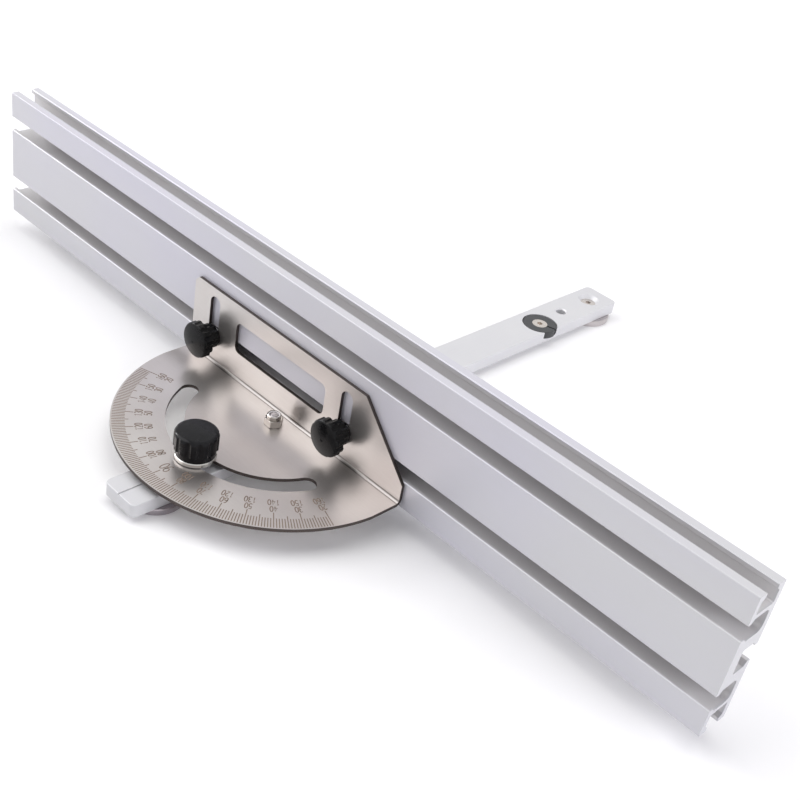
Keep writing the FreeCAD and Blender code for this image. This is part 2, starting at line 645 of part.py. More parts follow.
def fence_knob_insert(x):
    """The insert in a fence knob."""
    return moved(facing_operator(knob_insert()), x, KNOB_SEAT_Y, BOLT_Z)


def fence_bolt(x):
    """A bolt whose bevelled head slides behind the lips of the fence's lower front slot."""
    half_mouth = FRONT_SLOT_MOUTH / 2 - SLIDER_CLEARANCE
    half_cavity = FRONT_SLOT_CAVITY / 2 - SLIDER_CLEARANCE
    shoulder = FENCE_FRONT_Y + LIP_EDGE + SEAT_GAP
    root = FENCE_FRONT_Y + LIP_ROOT + SEAT_GAP
    back = root + BOLT_HEAD_THICKNESS
    outline = [
        (shoulder, -half_mouth),
        (shoulder, half_mouth),
        (root, half_cavity),
        (back, half_cavity),
        (back, -half_cavity),
        (root, -half_cavity),
    ]
    left = x - BOLT_HEAD_LENGTH / 2
    points = [Vector(left, y, BOLT_Z + z) for y, z in outline]
    head = face_of(points).extrude(Vector(BOLT_HEAD_LENGTH, 0, 0))
    end = KNOB_SEAT_Y - INSERT_LENGTH + BOLT_END_SETBACK
    shank = Part.makeCylinder(STUD_RADIUS, root - end, Vector(x, end, BOLT_Z), Y_AXIS)
    return head.fuse(shank).removeSplitter()


def slot_section(mouth, cavity, depth, round_radius):
    """A lipped slot's section as a face, opening at u = 0 and running in along +u, centred on v = 0.

    The lips grow from LIP_EDGE at the mouth to LIP_ROOT at the cavity's wall, and the cavity's
    far corners are rounded.
    """
    half_mouth = mouth / 2
    half_opening = half_mouth + MOUTH_CHAMFER
    half_cavity = cavity / 2
    floor_v = half_cavity - round_radius
    straight_end = depth - round_radius
    inset = round_radius * (1 - math.sqrt(0.5))

    def at(u, v):
        return Vector(0, u, v)

    edges = [
        Part.makeLine(at(-THROUGH, half_opening), at(-THROUGH, -half_opening)),
        Part.makeLine(at(depth, floor_v), at(depth, -floor_v)),
    ]
    for side in (1, -1):
        wall = side * half_cavity
        lip = [
            at(-THROUGH, side * half_opening),
            at(0, side * half_opening),
            at(MOUTH_CHAMFER, side * half_mouth),
            at(LIP_EDGE, side * half_mouth),
            at(LIP_ROOT, wall),
            at(straight_end, wall),
        ]
        edges += [Part.makeLine(a, b) for a, b in zip(lip, lip[1:])]
        corner = Part.Arc(at(straight_end, wall), at(depth - inset, side * (half_cavity - inset)),
                          at(depth, side * floor_v))
        edges.append(corner.toShape())
    return Part.Face(Part.Wire(Part.sortEdges(edges)[0]))


def fence_slot_cutter(section, turn, y, z):
    """A slot's cutter along the whole fence, turned about X to open at one of its faces."""
    cutter = section.extrude(Vector(FENCE_LENGTH + 2 * THROUGH, 0, 0))
    cutter.rotate(Vector(0, 0, 0), X_AXIS, turn)
    return moved(cutter, -FENCE_LEFT_REACH - THROUGH, FENCE_FRONT_Y + y, FENCE_BOTTOM + z)


def fence_extrusion():
    """The straight fence: two lipped slots in front, one behind, and one along each narrow edge."""
    corner = Vector(-FENCE_LEFT_REACH, FENCE_FRONT_Y, FENCE_BOTTOM)
    fence = Part.makeBox(FENCE_LENGTH, FENCE_THICKNESS, FENCE_HEIGHT, corner)
    long_edges = [e for e in fence.Edges if abs(e.BoundBox.XLength - FENCE_LENGTH) < SAME]
    fence = fence.makeFillet(FENCE_EDGE_RADIUS, long_edges)

    front = slot_section(FRONT_SLOT_MOUTH, FRONT_SLOT_CAVITY, FRONT_SLOT_DEPTH, FRONT_SLOT_ROUND)
    rear = slot_section(REAR_SLOT_MOUTH, REAR_SLOT_CAVITY, REAR_SLOT_DEPTH, PLAIN_SLOT_ROUND)
    edge = slot_section(EDGE_SLOT_MOUTH, EDGE_SLOT_CAVITY, EDGE_SLOT_DEPTH, PLAIN_SLOT_ROUND)
    cutters = [
        fence_slot_cutter(front, 0, 0, FRONT_SLOT_INSET),
        fence_slot_cutter(front, 0, 0, FENCE_HEIGHT - FRONT_SLOT_INSET),
        fence_slot_cutter(rear, 180, FENCE_THICKNESS, FENCE_HEIGHT / 2),
        fence_slot_cutter(edge, 90, FENCE_THICKNESS / 2, 0),
        fence_slot_cutter(edge, -90, FENCE_THICKNESS / 2, FENCE_HEIGHT),
    ]
    for cutter in cutters:
        fence = fence.cut(cutter)
    return fence


def all_parts():
    """Every piece by its name."""
    disc = t_disc()
    disc_screw = t_disc_screw()
    return {
        "miter_bar": miter_bar(),
        "near_t_disc": moved(disc, y=NEAR_DISC_Y),
        "near_t_disc_screw": moved(disc_screw, y=NEAR_DISC_Y),
        "far_t_disc": moved(disc, y=FAR_DISC_Y),
        "far_t_disc_screw": moved(disc_screw, y=FAR_DISC_Y),
        "expansion_disc": expansion_disc(),
        "expansion_screw": expansion_screw(),
        "pivot_screw": pivot_screw(),
        "pivot_spacer": spacer(TAPPED_RADIUS, 0),
        "pivot_nut": pivot_nut(),
        "pivot_nut_ring": pivot_nut_ring(),
        "clamp_spacer": spacer(STUD_RADIUS + WASHER_BORE_CLEARANCE, CLAMP_Y),
        "clamp_knob": clamp_knob(),
        "clamp_knob_insert": clamp_knob_insert(),
        "clamp_stud": clamp_stud(),
        "clamp_washer": clamp_washer(),
        "protractor_head": protractor_head(),
        "fence_extrusion": fence_extrusion(),
        "left_t_bolt": fence_bolt(LEFT_BOLT_X),
        "left_knob": fence_knob(LEFT_BOLT_X),
        "left_knob_insert": fence_knob_insert(LEFT_BOLT_X),
        "right_t_bolt": fence_bolt(RIGHT_BOLT_X),
        "right_knob": fence_knob(RIGHT_BOLT_X),
        "right_knob_insert": fence_knob_insert(RIGHT_BOLT_X),
    }


def main():
    """Build every piece and write it to its own file."""
    os.makedirs("parts", exist_ok=True)
    for name, shape in all_parts().items():
        shape.exportStep("parts/" + name + ".step")
        print(name, "solids", len(shape.Solids), "volume", round(shape.Volume, 1), "valid", shape.isValid())


main()
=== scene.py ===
"""Miter gauge: finishes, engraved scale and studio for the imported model.

Lengths in the sub-assemblies' classes are millimetres, because the gauge is drawn in them, and MM
turns them into the scene's metres. The studio and the depths in the finishes are in metres.
+X runs along the fence, +Y along the bar away from the operator, +Z up.
"""

import json
import logging
import math
from collections.abc import Callable, Sequence
from dataclasses import dataclass
from enum import Enum
from typing import Any

import bpy
from mathutils import Matrix, Vector

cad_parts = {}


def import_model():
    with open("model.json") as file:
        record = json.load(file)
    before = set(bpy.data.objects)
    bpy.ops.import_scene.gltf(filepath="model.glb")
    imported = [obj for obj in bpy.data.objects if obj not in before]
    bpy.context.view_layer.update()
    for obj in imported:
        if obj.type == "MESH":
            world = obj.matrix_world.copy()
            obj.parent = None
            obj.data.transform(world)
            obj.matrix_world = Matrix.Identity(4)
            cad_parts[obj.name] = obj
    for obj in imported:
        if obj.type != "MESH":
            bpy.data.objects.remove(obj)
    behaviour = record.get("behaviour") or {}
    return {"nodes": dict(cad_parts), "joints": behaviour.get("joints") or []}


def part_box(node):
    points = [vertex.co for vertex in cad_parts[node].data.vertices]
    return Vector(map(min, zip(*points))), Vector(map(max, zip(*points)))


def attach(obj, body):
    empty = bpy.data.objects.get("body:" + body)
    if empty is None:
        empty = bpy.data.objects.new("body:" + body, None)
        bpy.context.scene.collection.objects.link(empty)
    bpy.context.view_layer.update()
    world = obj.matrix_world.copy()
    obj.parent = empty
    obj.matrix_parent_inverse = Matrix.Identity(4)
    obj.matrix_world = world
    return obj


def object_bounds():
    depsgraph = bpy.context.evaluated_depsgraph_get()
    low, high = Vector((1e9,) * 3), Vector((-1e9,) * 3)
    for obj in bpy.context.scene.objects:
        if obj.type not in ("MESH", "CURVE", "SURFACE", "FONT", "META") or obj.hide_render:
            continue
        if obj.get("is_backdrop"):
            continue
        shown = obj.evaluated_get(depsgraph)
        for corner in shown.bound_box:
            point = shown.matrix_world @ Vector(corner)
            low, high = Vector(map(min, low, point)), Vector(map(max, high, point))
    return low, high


MM = 0.001
NUT_SEAT_GAP = 0.1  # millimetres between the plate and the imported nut
LOG = logging.getLogger("miter_gauge")

Colour = tuple[float, float, float]
Point = tuple[float, float, float]
Flat = tuple[float, float]
Span = tuple[float, float]
Sockets = dict[str, bpy.types.NodeSocket]

UNIT: Span = (0.0, 1.0)
FLOAT = "NodeSocketFloat"
VECTOR = "NodeSocketVector"
MATERIAL = "NodeSocketMaterial"


class Axis(Enum):
    """The axis of a round form, with the turn that brings it upright."""

    ALONG_Y = (math.radians(90), 0.0, 0.0)
    UPRIGHT = (0.0, 0.0, 0.0)


class Body(Enum):
    """The bodies that the scene's own pieces ride on."""

    HEAD = "head"


class NodeGraph:
    """A node tree that is filled by short calls: add a node, set its values, link its sockets."""

    def __init__(self, tree: bpy.types.NodeTree) -> None:
        """Wraps a tree.

        Args:
            tree: The tree to fill.
        """
        self.tree = tree

    def add(self, kind: str, values: dict[str | int, Any] | None = None,
            **settings: Any) -> bpy.types.Node:
        """Adds one node.

        Args:
            kind: The node's type name.
            values: Constants or output sockets by input name or number.
            **settings: Properties of the node itself.

        Returns:
            The new node.
        """
        node = self.tree.nodes.new(kind)
        for name, value in settings.items():
            setattr(node, name, value)
        for key, value in (values or {}).items():
            self.feed(node, key, value)
        return node

    def feed(self, node: bpy.types.Node, key: str | int, value: Any) -> None:
        """Links an output socket to an input, or sets the input's constant.

        Args:
            node: The node that takes the value.
            key: The input's name or number.
            value: A socket or a constant.
        """
        if isinstance(value, bpy.types.NodeSocket):
            self.tree.links.new(value, node.inputs[key])
        else:
            node.inputs[key].default_value = value

    def math(self, operation: str, *terms: Any) -> bpy.types.NodeSocket:
        """One Math node.

        Args:
            operation: Its operation's name.
            *terms: Its inputs, in order.

        Returns:
            The result's socket.
        """
        node = self.add("ShaderNodeMath", dict(enumerate(terms)), operation=operation)
        return node.outputs[0]

    def vector_math(self, operation: str, *terms: Any,
                    output: str = "Vector") -> bpy.types.NodeSocket:
        """One Vector Math node.

        Args:
            operation: Its operation's name.
            *terms: Its inputs, in order.
            output: The output that is wanted.

        Returns:
            The result's socket.
        """
        node = self.add("ShaderNodeVectorMath", dict(enumerate(terms)), operation=operation)
        return node.outputs[output]

    def blend(self, factor: Any, first: Any, second: Any) -> bpy.types.NodeSocket:
        """A mix of two colours.

        Args:
            factor: The share of the second colour.
            first: The first colour.
            second: The second colour.

        Returns:
            The colour's socket.
        """
        node = self.add("ShaderNodeMix", data_type="RGBA")
        self.feed(node, 0, factor)
        self.feed(node, 6, first)
        self.feed(node, 7, second)
        return node.outputs[2]

    def weigh(self, first: Any, share: Any, second: Any, other: Any) -> bpy.types.NodeSocket:
        """Adds two values, each times its share.

        Args:
            first: The first value.
            share: Its share.
            second: The second value.
            other: Its share.

        Returns:
            The sum's socket.
        """
        return self.math("ADD", self.math("MULTIPLY", first, share),
                         self.math("MULTIPLY", second, other))

    def spread(self, value: Any, start: Span, end: Span = UNIT) -> bpy.types.NodeSocket:
        """Maps one range of values to another, held at its ends.

        Args:
            value: The value to map.
            start: The low and the high end of its range.
            end: What they become.

        Returns:
            The mapped value's socket.
        """
        ends = {1: start[0], 2: start[1], 3: end[0], 4: end[1]}
        return self.add("ShaderNodeMapRange", {0: value, **ends}).outputs[0]

    def straight_views(self) -> bpy.types.NodeSocket:
        """Gives 1 for camera, mirrored and transmitted rays and 0 for the others.

        Returns:
            The value's socket.
        """
        path = self.add("ShaderNodeLightPath").outputs
        seen = self.math("MAXIMUM", path["Is Camera Ray"], path["Is Glossy Ray"])
        return self.math("MAXIMUM", seen, path["Is Transmission Ray"])


def rgba(colour: Colour) -> tuple[float, float, float, float]:
    """Gives the colour with full opacity."""
    return (*colour, 1.0)


def toned(colour: Colour, factor: float, lift: float = 0.0) -> Colour:
    """Gives a darker or a paler colour."""
    return tuple(factor * c + lift for c in colour)


def around(middle: float, swing: Span) -> Span:
    """Gives the span that reaches below and above a value by its swing."""
    return (middle - swing[0], middle + swing[1])


def cleared_tree(owner: bpy.types.Material | bpy.types.World) -> bpy.types.NodeTree:
    """Clears the nodes of a material or a world.

    Args:
        owner: The material or world.

    Returns:
        Its empty tree.
    """
    owner.use_nodes = True
    owner.node_tree.nodes.clear()
    return owner.node_tree


class ShaderGroup:
    """A shader node group that is built once, on first use, and then shared."""

    def __init__(self, name: str, inputs: dict[str, tuple[str, Any]], outputs: dict[str, str],
                 wire: Callable[[NodeGraph, bpy.types.Node], Sockets]) -> None:
        """Keeps the recipe of the group.

        Args:
            name: The group's name.
            inputs: Socket type and default by input name.
            outputs: Socket type by output name.
            wire: Fills the tree and returns the socket that feeds each output.
        """
        self.name = name
        self.inputs = inputs
        self.outputs = outputs
        self.wire = wire

    def tree(self) -> bpy.types.NodeTree:
        """Gives the group's tree, and builds it the first time.

        Returns:
            The tree.
        """
        found = bpy.data.node_groups.get(self.name)
        if found is not None:
            return found
        tree = bpy.data.node_groups.new(self.name, "ShaderNodeTree")
        for name, (kind, default) in self.inputs.items():
            socket = tree.interface.new_socket(name, in_out="INPUT", socket_type=kind)
            if default is not None:
                socket.default_value = default
        for name, kind in self.outputs.items():
            tree.interface.new_socket(name, in_out="OUTPUT", socket_type=kind)
        graph = NodeGraph(tree)
        graph.add("NodeGroupOutput", dict(self.wire(graph, graph.add("NodeGroupInput"))))
        return tree

    def use(self, graph: NodeGraph, values: dict[str, Any]) -> bpy.types.Node:
        """Places the group in a material.

        Args:
            graph: The material's graph.
            values: Constants or sockets by input name.

        Returns:
            The group's node.
        """
        node = graph.add("ShaderNodeGroup", node_tree=self.tree())
        for name, value in values.items():
            graph.feed(node, name, value)
        return node


COARSE_GRAIN_SIZE = (0.23, 0.23, 0.23)
COARSE_GRAIN_SHARE = 0.6
GRAIN_MASK_SPAN = (0.55, 1.05)
NOISE_SPAN = (0.3, 0.7)


def wire_drawn_grain(graph: NodeGraph, entry: bpy.types.Node) -> Sockets:
    """Streaks along the direction in which the place is stretched least.

    Args:
        graph: The group's graph.
        entry: Its input node.

    Returns:
        The sockets for Mask and Height.
    """
    place = graph.vector_math("MULTIPLY", entry.outputs["Place"], entry.outputs["Stretch"])
    fine = graph.add("ShaderNodeTexNoise", {
        "Vector": place,
        "Scale": 1.0,
        "Detail": 3.0,
        "Roughness": 0.6,
    }).outputs[0]
    coarse = graph.add("ShaderNodeTexNoise", {
        "Vector": graph.vector_math("MULTIPLY", place, COARSE_GRAIN_SIZE),
        "Scale": 1.0,
        "Detail": 2.0,
    }).outputs[0]
    both = graph.math("ADD", fine, graph.math("MULTIPLY", coarse, COARSE_GRAIN_SHARE))
    return {"Mask": graph.spread(both, GRAIN_MASK_SPAN), "Height": fine}


DRAWN_GRAIN = ShaderGroup(
    "Drawn grain",
    {"Place": (VECTOR, None), "Stretch": (VECTOR, (1.0, 1.0, 1.0))},
    {"Mask": FLOAT, "Height": FLOAT},
    wire_drawn_grain,
)


def wire_cloud(graph: NodeGraph, entry: bpy.types.Node) -> Sockets:
    """Slow soft variation, as of handling and uneven anodising; on the stainless sheet it is a
    painted soft reflection.

    Args:
        graph: The group's graph.
        entry: Its input node.

    Returns:
        The socket for Mask.
    """
    noise = graph.add("ShaderNodeTexNoise", {
        "Vector": entry.outputs["Place"],
        "Scale": entry.outputs["Scale"],
        "Detail": 3.0,
        "Roughness": 0.55,
    })
    return {"Mask": graph.spread(noise.outputs[0], NOISE_SPAN)}


CLOUD = ShaderGroup(
    "Soft cloud",
    {"Place": (VECTOR, None), "Scale": (FLOAT, 40.0)},
    {"Mask": FLOAT},
    wire_cloud,
)


def wire_turned_rings(graph: NodeGraph, entry: bpy.types.Node) -> Sockets:
    """Fine rings about an upright axis, as a lathe leaves them.

    Args:
        graph: The group's graph.
        entry: Its input node.

    Returns:
        The socket for Height.
    """
    away = graph.vector_math("SUBTRACT", entry.outputs["Place"], entry.outputs["Centre"])
    flat = graph.vector_math("MULTIPLY", away, (1.0, 1.0, 0.0))
    radius = graph.vector_math("LENGTH", flat, output="Value")
    along = graph.math("MULTIPLY", radius, entry.outputs["Density"])
    line = graph.add("ShaderNodeCombineXYZ", {0: along})
    noise = graph.add("ShaderNodeTexNoise", {
        "Vector": line.outputs[0],
        "Scale": 1.0,
        "Detail": 2.0,
    })
    return {"Height": noise.outputs[0]}


TURNED_RINGS = ShaderGroup(
    "Turned rings",
    {
        "Place": (VECTOR, None),
        "Centre": (VECTOR, (0.0, 0.0, 0.0)),
        "Density": (FLOAT, 4000.0),
    },
    {"Height": FLOAT},
    wire_turned_rings,
)


CREST_HEIGHT = 0.5


def wire_thread(graph: NodeGraph, entry: bpy.types.Node) -> Sockets:
    """The height of a V thread that winds about the upright axis through Centre.

    Args:
        graph: The group's graph.
        entry: Its input node.

    Returns:
        The socket for Height.
    """
    away = graph.vector_math("SUBTRACT", entry.outputs["Place"], entry.outputs["Centre"])
    x, y, z = graph.add("ShaderNodeSeparateXYZ", {0: away}).outputs
    turn = graph.math("DIVIDE", graph.math("ARCTAN2", y, x), math.tau)
    climb = graph.math("DIVIDE", z, entry.outputs["Pitch"])
    phase = graph.math("SUBTRACT", climb, turn)
    return {"Height": graph.math("PINGPONG", phase, CREST_HEIGHT)}


THREAD = ShaderGroup(
    "Screw thread",
    {
        "Place": (VECTOR, None),
        "Centre": (VECTOR, (0.0, 0.0, 0.0)),
        "Pitch": (FLOAT, 0.001),
    },
    {"Height": FLOAT},
    wire_thread,
)


EDGE_ON = 0.5
END_ON = 0.9
# Tilts where the painted dark reflection along the bend rises, falls and rests.
CREASE_REFLECTION_RISE = (0.02, 0.2)
CREASE_REFLECTION_FALL = (0.3, 0.5)
CREASE_REFLECTION_REST = 0.6


def wire_sheared_edge(graph: NodeGraph, entry: bpy.types.Node) -> Sockets:
    """Marks the cut edges of the folded sheet and the two lines where its bend begins, where
    painted shade and dark reflection go.

    Both follow from which way a face looks. The plate's faces look up or down, the flange's along
    Y, and the bend's anywhere between.

    Args:
        graph: The group's graph.
        entry: Its input node.

    Returns:
        The sockets for Mask, on the cut edges, and for the painted dark reflection, which is 1 on
        the two lines where the bend begins.
    """
    place = graph.add("ShaderNodeSeparateXYZ", {0: entry.outputs["Place"]})
    facing = graph.add("ShaderNodeSeparateXYZ", {0: entry.outputs["Facing"]})
    side, depth, up = (graph.math("ABSOLUTE", facing.outputs[i]) for i in range(3))
    above_bend = graph.math("GREATER_THAN", place.outputs[2], entry.outputs["Bend Top"])
    before_bend = graph.math("LESS_THAN", place.outputs[1], entry.outputs["Bend Front"])
    flange_cut = graph.math("MULTIPLY", above_bend, graph.math("LESS_THAN", depth, EDGE_ON))
    plate_cut = graph.math("MULTIPLY", before_bend, graph.math("LESS_THAN", up, EDGE_ON))
    end_cut = graph.math("GREATER_THAN", side, END_ON)
    cut = graph.math("MAXIMUM", flange_cut, graph.math("MAXIMUM", plate_cut, end_cut))
    tilt = graph.math("MINIMUM", depth, up)
    fall = graph.spread(tilt, CREASE_REFLECTION_FALL, (1.0, CREASE_REFLECTION_REST))
    crease_reflection = graph.math("MULTIPLY", graph.spread(tilt, CREASE_REFLECTION_RISE), fall)
    return {"Mask": cut, "Crease": crease_reflection}


EDGE_SHADE_MASKS = ShaderGroup(
    "Edge shade masks",
    {
        "Place": (VECTOR, None),
        "Facing": (VECTOR, None),
        "Bend Top": (FLOAT, 0.0),
        "Bend Front": (FLOAT, 0.0),
    },
    {"Mask": FLOAT, "Crease": FLOAT},
    wire_sheared_edge,
)


class SurfaceGraph(NodeGraph):
    """The graph of a material round one Principled BSDF, with its coordinates at hand."""

    def __init__(self, material: bpy.types.Material) -> None:
        """Starts the graph.

        Args:
            material: The material, whose nodes are cleared.
        """
        super().__init__(cleared_tree(material))
        self.shader = self.add("ShaderNodeBsdfPrincipled")
        self.add("ShaderNodeOutputMaterial", {0: self.shader.outputs[0]})
        coordinates = self.add("ShaderNodeTexCoord").outputs
        self.place = coordinates["Object"]
        self.facing = coordinates["Normal"]

    def show(self, values: dict[str, Any]) -> None:
        """Gives the shader its inputs.

        Args:
            values: Constants or sockets by input name.
        """
        for name, value in values.items():
            self.feed(self.shader, name, value)

    def relief(self, height: bpy.types.NodeSocket, strength: float, distance: float) -> None:
        """Feeds a height into the shader's normal.

        Args:
            height: The height, from 0 to 1.
            strength: How much of the slope shows.
            distance: The relief's depth in metres.
        """
        bump = self.add("ShaderNodeBump", {
            "Strength": strength,
            "Distance": distance,
            "Height": height,
        })
        self.feed(self.shader, "Normal", bump.outputs[0])


class Finish:
    """The base of every finish: a named material round one Principled BSDF."""

    name: str

    def build(self) -> bpy.types.Material:
        """Gives the material, and makes it the first time.

        Returns:
            The material.
        """
        found = bpy.data.materials.get(self.name)
        if found is not None:
            return found
        material = bpy.data.materials.new(self.name)
        self.dress(SurfaceGraph(material))
        return material

    def dress(self, surface: SurfaceGraph) -> None:
        """Fills the material.

        Args:
            surface: The material's graph.
        """
        raise NotImplementedError


def soft_cloud(surface: SurfaceGraph, scale: float) -> bpy.types.NodeSocket:
    """Places the soft cloud's group.

    Args:
        surface: The material's graph.
        scale: How fine the cloud is.

    Returns:
        The mask's socket.
    """
    return CLOUD.use(surface, {"Place": surface.place, "Scale": scale}).outputs["Mask"]


def drawn_lines(surface: SurfaceGraph,
                stretch: Point) -> tuple[bpy.types.NodeSocket, bpy.types.NodeSocket]:
    """Places the drawn grain's group.

    Args:
        surface: The material's graph.
        stretch: How fine the grain is along each axis.

    Returns:
        The sockets of the mask and of the height.
    """
    grain = DRAWN_GRAIN.use(surface, {"Place": surface.place, "Stretch": stretch}).outputs
    return grain["Mask"], grain["Height"]


@dataclass(frozen=True)
class AnodisedAluminium(Finish):
    """Clear-anodised aluminium with faint lines along the way it was drawn, and, where a recess
    colour is given, a painted paler tone for bounce light on the faces inside its outline.
    """

    name: str
    colour: Colour
    shade: Colour
    stretch: Point
    cloud_scale: float = 22.0
    roughness: float = 0.42
    swing: Span = (0.04, 0.05)
    metallic: float = 0.3
    line_depth: float = 0.0000025
    line_strength: float = 0.35
    grain_share: float = 0.15
    cloud_share: float = 0.85
    groove: Colour | None = None
    middle: Point = (0.0, 0.0, 0.0)
    reach: Point = (1.0, 1.0, 1.0)
    groove_depth: Span = (0.0003, 0.0009)

    def below_outline(self, surface: SurfaceGraph) -> bpy.types.NodeSocket:
        """Marks the faces that lie inside the piece's outline, such as those of its slots, for
        painted bounce light.

        Args:
            surface: The material's graph.

        Returns:
            The mask's socket.
        """
        offset = surface.vector_math("SUBTRACT", surface.place, self.middle)
        inwards = surface.vector_math("SUBTRACT", self.reach,
                                      surface.vector_math("ABSOLUTE", offset))
        x, y, z = surface.add("ShaderNodeSeparateXYZ", {0: inwards}).outputs
        least = surface.math("MINIMUM", surface.math("MINIMUM", x, y), z)
        return surface.spread(least, self.groove_depth)

    def dress(self, surface: SurfaceGraph) -> None:
        """Fills the material.

        Args:
            surface: The material's graph.
        """
        grain, lines = drawn_lines(surface, self.stretch)
        cloud = soft_cloud(surface, self.cloud_scale)
        tone = surface.weigh(grain, self.grain_share, cloud, self.cloud_share)
        colour = surface.blend(tone, rgba(self.colour), rgba(self.shade))
        # Faces inside the outline take a paler, more neutral colour: painted bounce light in the
        # slots.
        if self.groove is not None:
            colour = surface.blend(self.below_outline(surface), colour, rgba(self.groove))
        surface.show({
            "Base Color": colour,
            "Roughness": surface.spread(grain, UNIT, around(self.roughness, self.swing)),
            "Metallic": self.metallic,
        })
        surface.relief(lines, self.line_strength, self.line_depth)


@dataclass(frozen=True)
class BrushedStainless(Finish):
    """Stainless sheet brushed along X, with a painted soft reflection, and painted shade and dark
    reflection on its cut edges and along its bend.
    """

    name: str
    colour: Colour
    shade: Colour
    # Painted shade and dark reflection for the cut edges and the lines of the bend.
    edge: Colour
    bend_top: float
    bend_front: float
    roughness: float = 0.3
    swing: Span = (0.02, 0.03)
    metallic: float = 0.88
    line_depth: float = 0.0000015
    line_strength: float = 0.14
    stretch: Point = (260.0, 6500.0, 6500.0)
    cloud_scale: float = 16.0
    grain_share: float = 0.15
    cloud_share: float = 0.65
    crease_share: float = 0.75
    cut_roughness: float = 0.2

    def dress(self, surface: SurfaceGraph) -> None:
        """Fills the material.

        Args:
            surface: The material's graph.
        """
        grain, lines = drawn_lines(surface, self.stretch)
        cloud = soft_cloud(surface, self.cloud_scale)
        edges = EDGE_SHADE_MASKS.use(surface, {
            "Place": surface.place,
            "Facing": surface.facing,
            "Bend Top": self.bend_top,
            "Bend Front": self.bend_front,
        }).outputs
        # The cloud's share is a painted soft reflection of the studio; the grain's share is the
        # brushing.
        tone = surface.weigh(grain, self.grain_share, cloud, self.cloud_share)
        grain_and_reflection = surface.blend(tone, rgba(self.colour), rgba(self.shade))
        # A painted dark reflection along the bend, darkest on the two lines where it begins.
        crease_reflection = surface.math("MULTIPLY", edges["Crease"], self.crease_share)
        with_crease_reflection = surface.blend(crease_reflection, grain_and_reflection, rgba(self.edge))
        rough = surface.spread(grain, UNIT, around(self.roughness, self.swing))
        rougher = surface.math("MULTIPLY", edges["Mask"], self.cut_roughness)
        # Cut edges take the dark colour as painted shade and dark reflection, and a rougher finish.
        surface.show({
            "Base Color": surface.blend(edges["Mask"], with_crease_reflection, rgba(self.edge)),
            "Roughness": surface.math("ADD", rough, rougher),
            "Metallic": self.metallic,
        })
        surface.relief(lines, self.line_strength, self.line_depth)


@dataclass(frozen=True)
class TurnedMetal(Finish):
    """Bright metal with the rings of the lathe about an upright axis."""

    name: str
    colour: Colour
    centre: Point
    roughness: float = 0.25
    swing: Span = (0.06, 0.06)
    ring_depth: float = 0.00001
    ring_strength: float = 0.4
    ring_density: float = 5200.0
    cloud_scale: float = 300.0
    shade_factor: float = 0.78
    shade_share: float = 0.5

    def dress(self, surface: SurfaceGraph) -> None:
        """Fills the material.

        Args:
            surface: The material's graph.
        """
        height = TURNED_RINGS.use(surface, {
            "Place": surface.place,
            "Centre": tuple(v * MM for v in self.centre),
            "Density": self.ring_density,
        }).outputs["Height"]
        cloud = soft_cloud(surface, self.cloud_scale)
        tone = surface.math("MULTIPLY", cloud, self.shade_share)
        darker = toned(self.colour, self.shade_factor)
        surface.show({
            "Base Color": surface.blend(tone, rgba(self.colour), rgba(darker)),
            "Metallic": 1.0,
            "Roughness": surface.spread(height, NOISE_SPAN, around(self.roughness, self.swing)),
        })
        surface.relief(height, self.ring_strength, self.ring_depth)


@dataclass(frozen=True)
class ThreadedMetal(Finish):
    """Bright steel rod with a screw thread about its axis, and painted shade in the thread's roots.
    """

    name: str
    colour: Colour
    centre: Point
    axis: Axis
    pitch: float
    roughness: float = 0.28
    groove_share: float = 0.55
    groove_factor: float = 0.3
    depth_in_pitches: float = 0.3
    thread_strength: float = 0.8

    def dress(self, surface: SurfaceGraph) -> None:
        """Fills the material.

        Args:
            surface: The material's graph.
        """
        centre = Matrix.Rotation(self.axis.value[0], 4, "X") @ Vector(self.centre) * MM
        upright = surface.add("ShaderNodeMapping", {
            "Vector": surface.place,
            "Rotation": self.axis.value,
        })
        height = THREAD.use(surface, {
            "Place": upright.outputs[0],
            "Centre": tuple(centre),
            "Pitch": self.pitch * MM,
        }).outputs["Height"]
        # Painted shade in the thread's roots.
        groove = surface.spread(height, (0.0, CREST_HEIGHT), (self.groove_share, 0.0))
        painted_root_shade = toned(self.colour, self.groove_factor)
        surface.show({
            "Base Color": surface.blend(groove, rgba(self.colour), rgba(painted_root_shade)),
            "Metallic": 1.0,
            "Roughness": self.roughness,
        })
        depth = self.depth_in_pitches * self.pitch * MM
        surface.relief(height, self.thread_strength, depth)


@dataclass(frozen=True)
class MouldedPolymer(Finish):
    """Moulded plastic with a faint ripple, from gloss to matt."""

    name: str
    colour: Colour
    roughness: float
    specular: float = 0.5
    swing: Span = (0.04, 0.06)
    ripple_scale: float = 260.0
    ripple_depth: float = 0.00002
    ripple_strength: float = 0.25
    paler_factor: float = 1.5
    paler_lift: float = 0.003

    def dress(self, surface: SurfaceGraph) -> None:
        """Fills the material.

        Args:
            surface: The material's graph.
        """
        ripple = soft_cloud(surface, self.ripple_scale)
        paler = toned(self.colour, self.paler_factor, self.paler_lift)
        surface.show({
            "Base Color": surface.blend(ripple, rgba(self.colour), rgba(paler)),
            "Roughness": surface.spread(ripple, UNIT, around(self.roughness, self.swing)),
            "Specular IOR Level": self.specular,
        })
        surface.relief(ripple, self.ripple_strength, self.ripple_depth)


